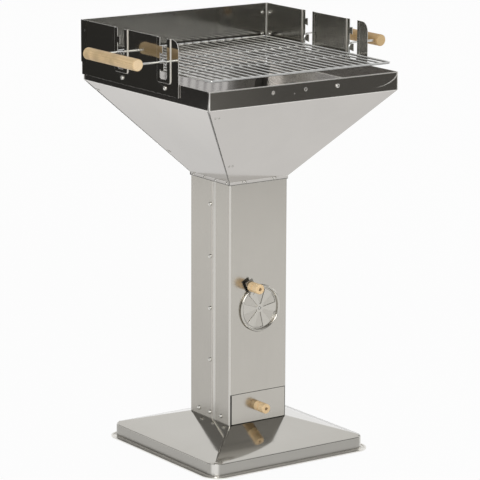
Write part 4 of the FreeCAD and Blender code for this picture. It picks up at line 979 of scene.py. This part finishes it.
blank = bmesh.new()
turned(blank, head_profile())
blank_head = bpy.data.objects.new("blank_head", mesh_of(blank, "blank_head"))
bars = bmesh.new()
for long_way in (0, 1):
    rows = []
    for above, half_long, half_wide in RECESS_ROWS:
        sizes = (half_long, half_wide) if long_way else (half_wide, half_long)
        rows.append([bars.verts.new((sx * sizes[0], sy * sizes[1], HEAD_HEIGHT + above))
                     for sx, sy in ((-1, -1), (1, -1), (1, 1), (-1, 1))])
    bars.faces.new(rows[0][::-1])
    bars.faces.new(rows[1])
    for k in range(4):
        bars.faces.new((rows[0][k], rows[0][(k + 1) % 4], rows[1][(k + 1) % 4], rows[1][k]))
cross_bars = bpy.data.objects.new("cross_bars", mesh_of(bars, "cross_bars"))
for thing in (blank_head, cross_bars):
    bpy.context.scene.collection.objects.link(thing)
recess = blank_head.modifiers.new("recess", "BOOLEAN")
recess.object, recess.operation, recess.solver, recess.use_self = cross_bars, "DIFFERENCE", "EXACT", True
ready = blank_head.evaluated_get(bpy.context.evaluated_depsgraph_get())
pan_head = bpy.data.meshes.new_from_object(ready)
for thing in (blank_head, cross_bars):
    bpy.data.objects.remove(thing)
print("pan head with", len(pan_head.polygons), "faces")

# %% [markdown]
# Where each screw sits is read from the CAD node that it stands for: the node's separate solids are found,
# and each one gives the middle of its head, the size of the head and the length of the shank. Which way the
# head looks follows from the face that it is on.

# %% Places of the fasteners
def islands(name):
    """Points of each separate solid in a CAD node."""
    body = bmesh.new()
    body.from_mesh(nodes[name].data)
    bmesh.ops.remove_doubles(body, verts=body.verts, dist=1e-6)
    body.verts.index_update()
    seen, found = set(), []
    for first in body.verts:
        if first.index in seen:
            continue
        seen.add(first.index)
        group, border = [], [first]
        while border:
            point = border.pop()
            group.append(point.co[:])
            for link in point.link_edges:
                other = link.other_vert(point)
                if other.index not in seen:
                    seen.add(other.index)
                    border.append(other)
        found.append(np.array(group))
    body.free()
    return found


def pin_place(points, axis):
    """Seat of a headed pin under its head, its head radius, head height and shank length."""
    axis = np.array(axis) / np.linalg.norm(axis)
    level = points @ axis
    off = points - np.outer(level, axis)
    centre = off.mean(0)
    reach = np.linalg.norm(off - centre, axis=1)
    rim = reach > 0.98 * reach.max()
    centre = off[rim].mean(0)
    seat = level[rim].min()
    return centre + seat * axis, axis, reach.max(), level.max() - seat, seat - level.min()


def sideways(spot):
    """Outward direction along X."""
    return (math.copysign(1.0, spot[0]), 0.0, 0.0)


def lengthways(spot):
    """Outward direction along Y."""
    return (0.0, math.copysign(1.0, spot[1]), 0.0)


def outwards(spot):
    """Outward direction of the nearer side of a square."""
    return lengthways(spot) if abs(spot[1]) > abs(spot[0]) else sideways(spot)


screw_faces = {
    "seam_screws": sideways,
    "foot_screws": lambda spot: lengthways(spot) if spot[1] > 0.07 else sideways(spot),
    "foot_bolts": lambda spot: (0.0, 0.0, -1.0),
    "windscreen_bolts": lambda spot: lengthways(spot) if spot[1] > 0.2 else sideways(spot),
    "corner_bolts": lambda spot: tuple(-step for step in outwards(spot)),
    "rim_bolt": lengthways,
}
print("screw groups:", list(screw_faces))

# %% [markdown]
# The thread of a screw is turned as a row of ridges: on so short a screw nobody sees that they aren't a
# spiral.

# %% Screws
THREAD_OUTER, THREAD_INNER, THREAD_PITCH = 0.0025, 0.0021, 0.0008


def shank(body, spot, axis, length):
    """Threaded shank that runs from a seat against the axis."""
    ridges = [(THREAD_OUTER, 0.0)]
    count = max(1, int(length / THREAD_PITCH) - 1)
    for k in range(count):
        level = -length * (k + 0.5) / count
        ridges += [(THREAD_INNER, level), (THREAD_OUTER, level - length * 0.5 / count)]
    ridges[-1] = (THREAD_INNER, -length)
    stamp_turned(body, [(0.0, 0.0)] + ridges + [(0.0, -length)], 20, spot, axis)


screw_count = 0
for name, face in screw_faces.items():
    body = bmesh.new()
    for points in islands(name):
        spot, axis, radius, _, length = pin_place(points, face(points.mean(0)))
        stamp(body, pan_head, spot, axis, radius / HEAD_RADIUS)
        shank(body, spot, axis, length)
        screw_count += 1
    mesh = mesh_of(body, f"{name}_crossed")
    piece = new_piece(f"{name}_crossed", mesh, zinc_plate, "frame")
    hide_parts(name)
print(screw_count, "screws")

# %% [markdown]
# ## Rivets
#
# The funnel's panels are held by blind rivets. Such a rivet has a domed head with a hole, in which the end of
# the broken pull pin shows. The vent turns on one of its own, and another holds its lug.

# %% Rivets
SLOPE_RISE, SLOPE_RUN = 0.1975, 0.1685
SLOPE_OUT, SLOPE_UP = Vector((SLOPE_RISE, -SLOPE_RUN)).normalized()


def off_slope(spot):
    """Outward direction of the nearer slope of the funnel."""
    x, y, _ = outwards(spot)
    return (SLOPE_OUT * x, SLOPE_OUT * y, SLOPE_UP)


rivet_faces = {
    "throat_rivets": (outwards, "frame"),
    "corner_rivets": (off_slope, "frame"),
    "vent_pivot": (lengthways, "frame"),
    "vent_lug_rivet": (lengthways, "vent"),
}


def rivet_profile(radius, height, length):
    """Blind rivet from the stub of its pull pin over the dome and down to the end of its shank."""
    return [(0.0, 0.45 * height), (0.2 * radius, 0.42 * height), (0.26 * radius, 0.35 * height),
            (0.32 * radius, 0.9 * height), (0.42 * radius, height), (0.66 * radius, 0.86 * height),
            (0.86 * radius, 0.56 * height), (0.97 * radius, 0.2 * height), (radius, 0.0),
            (0.48 * radius, 0.0), (0.48 * radius, -length), (0.0, -length)]


rivet_count = 0
for name, (face, carrier) in rivet_faces.items():
    body = bmesh.new()
    for points in islands(name):
        spot, axis, radius, height, length = pin_place(points, face(points.mean(0)))
        stamp_turned(body, rivet_profile(radius, height, length), 24, spot, axis)
        rivet_count += 1
    mesh = mesh_of(body, f"{name}_domed")
    piece = new_piece(f"{name}_domed", mesh, rivet_plate, carrier)
    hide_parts(name)
print(rivet_count, "rivets")

# %% [markdown]
# ## Nuts
#
# Behind the rim, hexagon nuts hold the windscreen's bolts. A nut is turned with a radius that follows six
# flats, and the corners of its faces are turned off a little.

# %% Nuts
NUT_BORE, NUT_CORNER, NUT_CHAMFER = 0.0026, 0.004, 0.0004


def flats(radius, angle):
    """Radius of a hexagon at an angle, from the radius of its corners."""
    step = math.pi / 3
    return radius * math.cos(step / 2) / math.cos((angle % step) - step / 2)


def nut_radius(radius, angle):
    """Radius of a nut's profile at an angle: round in the bore, with six flats outside."""
    return NUT_BORE if radius == NUT_BORE else min(flats(NUT_CORNER, angle), radius)


nut_count = 0
for name, face in (("windscreen_nuts", screw_faces["windscreen_bolts"]), ("rim_nut", lengthways)):
    body = bmesh.new()
    for points in islands(name):
        axis = face(points.mean(0))
        level = points @ np.array(axis)
        thick = level.max() - level.min()
        seat = (points.min(0) + points.max(0)) / 2 - np.array(axis) * thick / 2
        face_radius = NUT_CORNER - NUT_CHAMFER
        profile = [(NUT_BORE, 0.0), (face_radius, 0.0), (NUT_CORNER, NUT_CHAMFER),
                   (NUT_CORNER, thick - NUT_CHAMFER), (face_radius, thick), (NUT_BORE, thick), (NUT_BORE, 0.0)]
        stamp_turned(body, profile, 48, seat, axis, nut_radius)
        nut_count += 1
    bmesh.ops.remove_doubles(body, verts=body.verts, dist=1e-7)
    mesh = mesh_of(body, f"{name}_hexagon")
    piece = new_piece(f"{name}_hexagon", mesh, zinc_plate, "frame")
    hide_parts(name)
print(nut_count, "nuts")

# %% [markdown]
# ## Welds of the grate
#
# The grate is spot welded: where a bar meets the frame, and where the cross wire and the hooks pass under it,
# the wires have sunk into each other and a small bead has swelled out. Seen from afar these are the bright
# dots along the rear of the grate. Each bead is a ball pressed flat and made uneven with noise, and all of
# them are one mesh that moves with the grate.

# %% Weld beads
BAR_COUNT, BAR_PITCH = 20, 0.0223
GRATE_HALF, FRAME_WIRE = 0.234, 0.005
END_BEAD, CROSS_BEAD, HOOK_BEAD = (0.0027, 0.0032, 0.0026), (0.0027, 0.0027, 0.0016), (0.0024, 0.003, 0.0022)
BEAD_INSET, CROSS_DROP, HOOK_DROP = 0.0016, 0.0021, 0.0022
bar_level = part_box("cooking_grate")[1][2] - FRAME_WIRE / 2
cross_y = (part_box("grate_hook_front")[0][1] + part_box("grate_hook_rear")[1][1]) / 2
hook_rows = [middle_of(f"grate_hook_{row}")[1] for row in ("front", "rear")]


def bead(body, spot, size):
    """Uneven flattened ball at a spot."""
    ball = bmesh.ops.create_icosphere(body, subdivisions=2, radius=1.0)["verts"]
    for point in ball:
        swell = 1.0 + 0.16 * noise.noise(point.co * 1.7 + Vector(spot) * 310.0)
        point.co = Vector(spot) + Vector(s * c * swell for s, c in zip(size, point.co))


welds = bmesh.new()
for k in range(BAR_COUNT):
    x = (k - (BAR_COUNT - 1) / 2) * BAR_PITCH
    for end in (-1, 1):
        bead(welds, (x, end * (GRATE_HALF - BEAD_INSET), bar_level), END_BEAD)
    bead(welds, (x, cross_y, bar_level - CROSS_DROP), CROSS_BEAD)
for y in hook_rows:
    for side in (-1, 1):
        bead(welds, (side * (GRATE_HALF + BEAD_INSET), y, bar_level - HOOK_DROP), HOOK_BEAD)
bead_count = len(welds.faces)
new_piece("grate_welds", mesh_of(welds, "grate_welds"), wire_chrome, "grate")
print("weld beads of", bead_count, "faces")

# %% [markdown]
# ## Inner corners of the windscreen
#
# Inside the rear corners of the windscreen the sheet is bent round, which draws a bright upright line on
# either side of the grate. A quarter tube of sheet in each corner gives that line, in the lighter steel that
# paints highlights along edges, so its brightness is partly painted. It is built from two arcs, the face and
# the back, and touches both walls.

# %% Corner bends
WALL_IN, BEND_RADIUS, BEND_SHEET, BEND_STEPS, BEND_GAP = 0.2475, 0.0024, 0.0005, 10, 0.0005
bend_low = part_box("funnel_rear")[1][2] + BEND_GAP
bend_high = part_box("windscreen_rear")[1][2] - BEND_GAP

for side, label in ((-1, "left"), (1, "right")):
    body = bmesh.new()
    heart = Vector((side * (WALL_IN - BEND_RADIUS), WALL_IN - BEND_RADIUS, 0.0))
    columns = []
    for k in range(BEND_STEPS + 1):
        angle = math.pi / 2 * k / BEND_STEPS
        ray = Vector((side * math.cos(angle), math.sin(angle), 0.0))
        columns.append([body.verts.new(heart + ray * radius + Vector((0, 0, level)))
                        for radius, level in ((BEND_RADIUS, bend_low), (BEND_RADIUS, bend_high),
                                              (BEND_RADIUS - BEND_SHEET, bend_high),
                                              (BEND_RADIUS - BEND_SHEET, bend_low))])
    for near, far in zip(columns, columns[1:]):
        for k in range(4):
            body.faces.new((near[k], near[(k + 1) % 4], far[(k + 1) % 4], far[k]))
    body.faces.new(columns[0])
    body.faces.new(columns[-1][::-1])
    mesh = mesh_of(body, f"corner_bend_{label}")
    new_piece(f"corner_bend_{label}", mesh, painted_edge_highlight, "frame")
print("corner bends", round(bend_high - bend_low, 4), "m high")
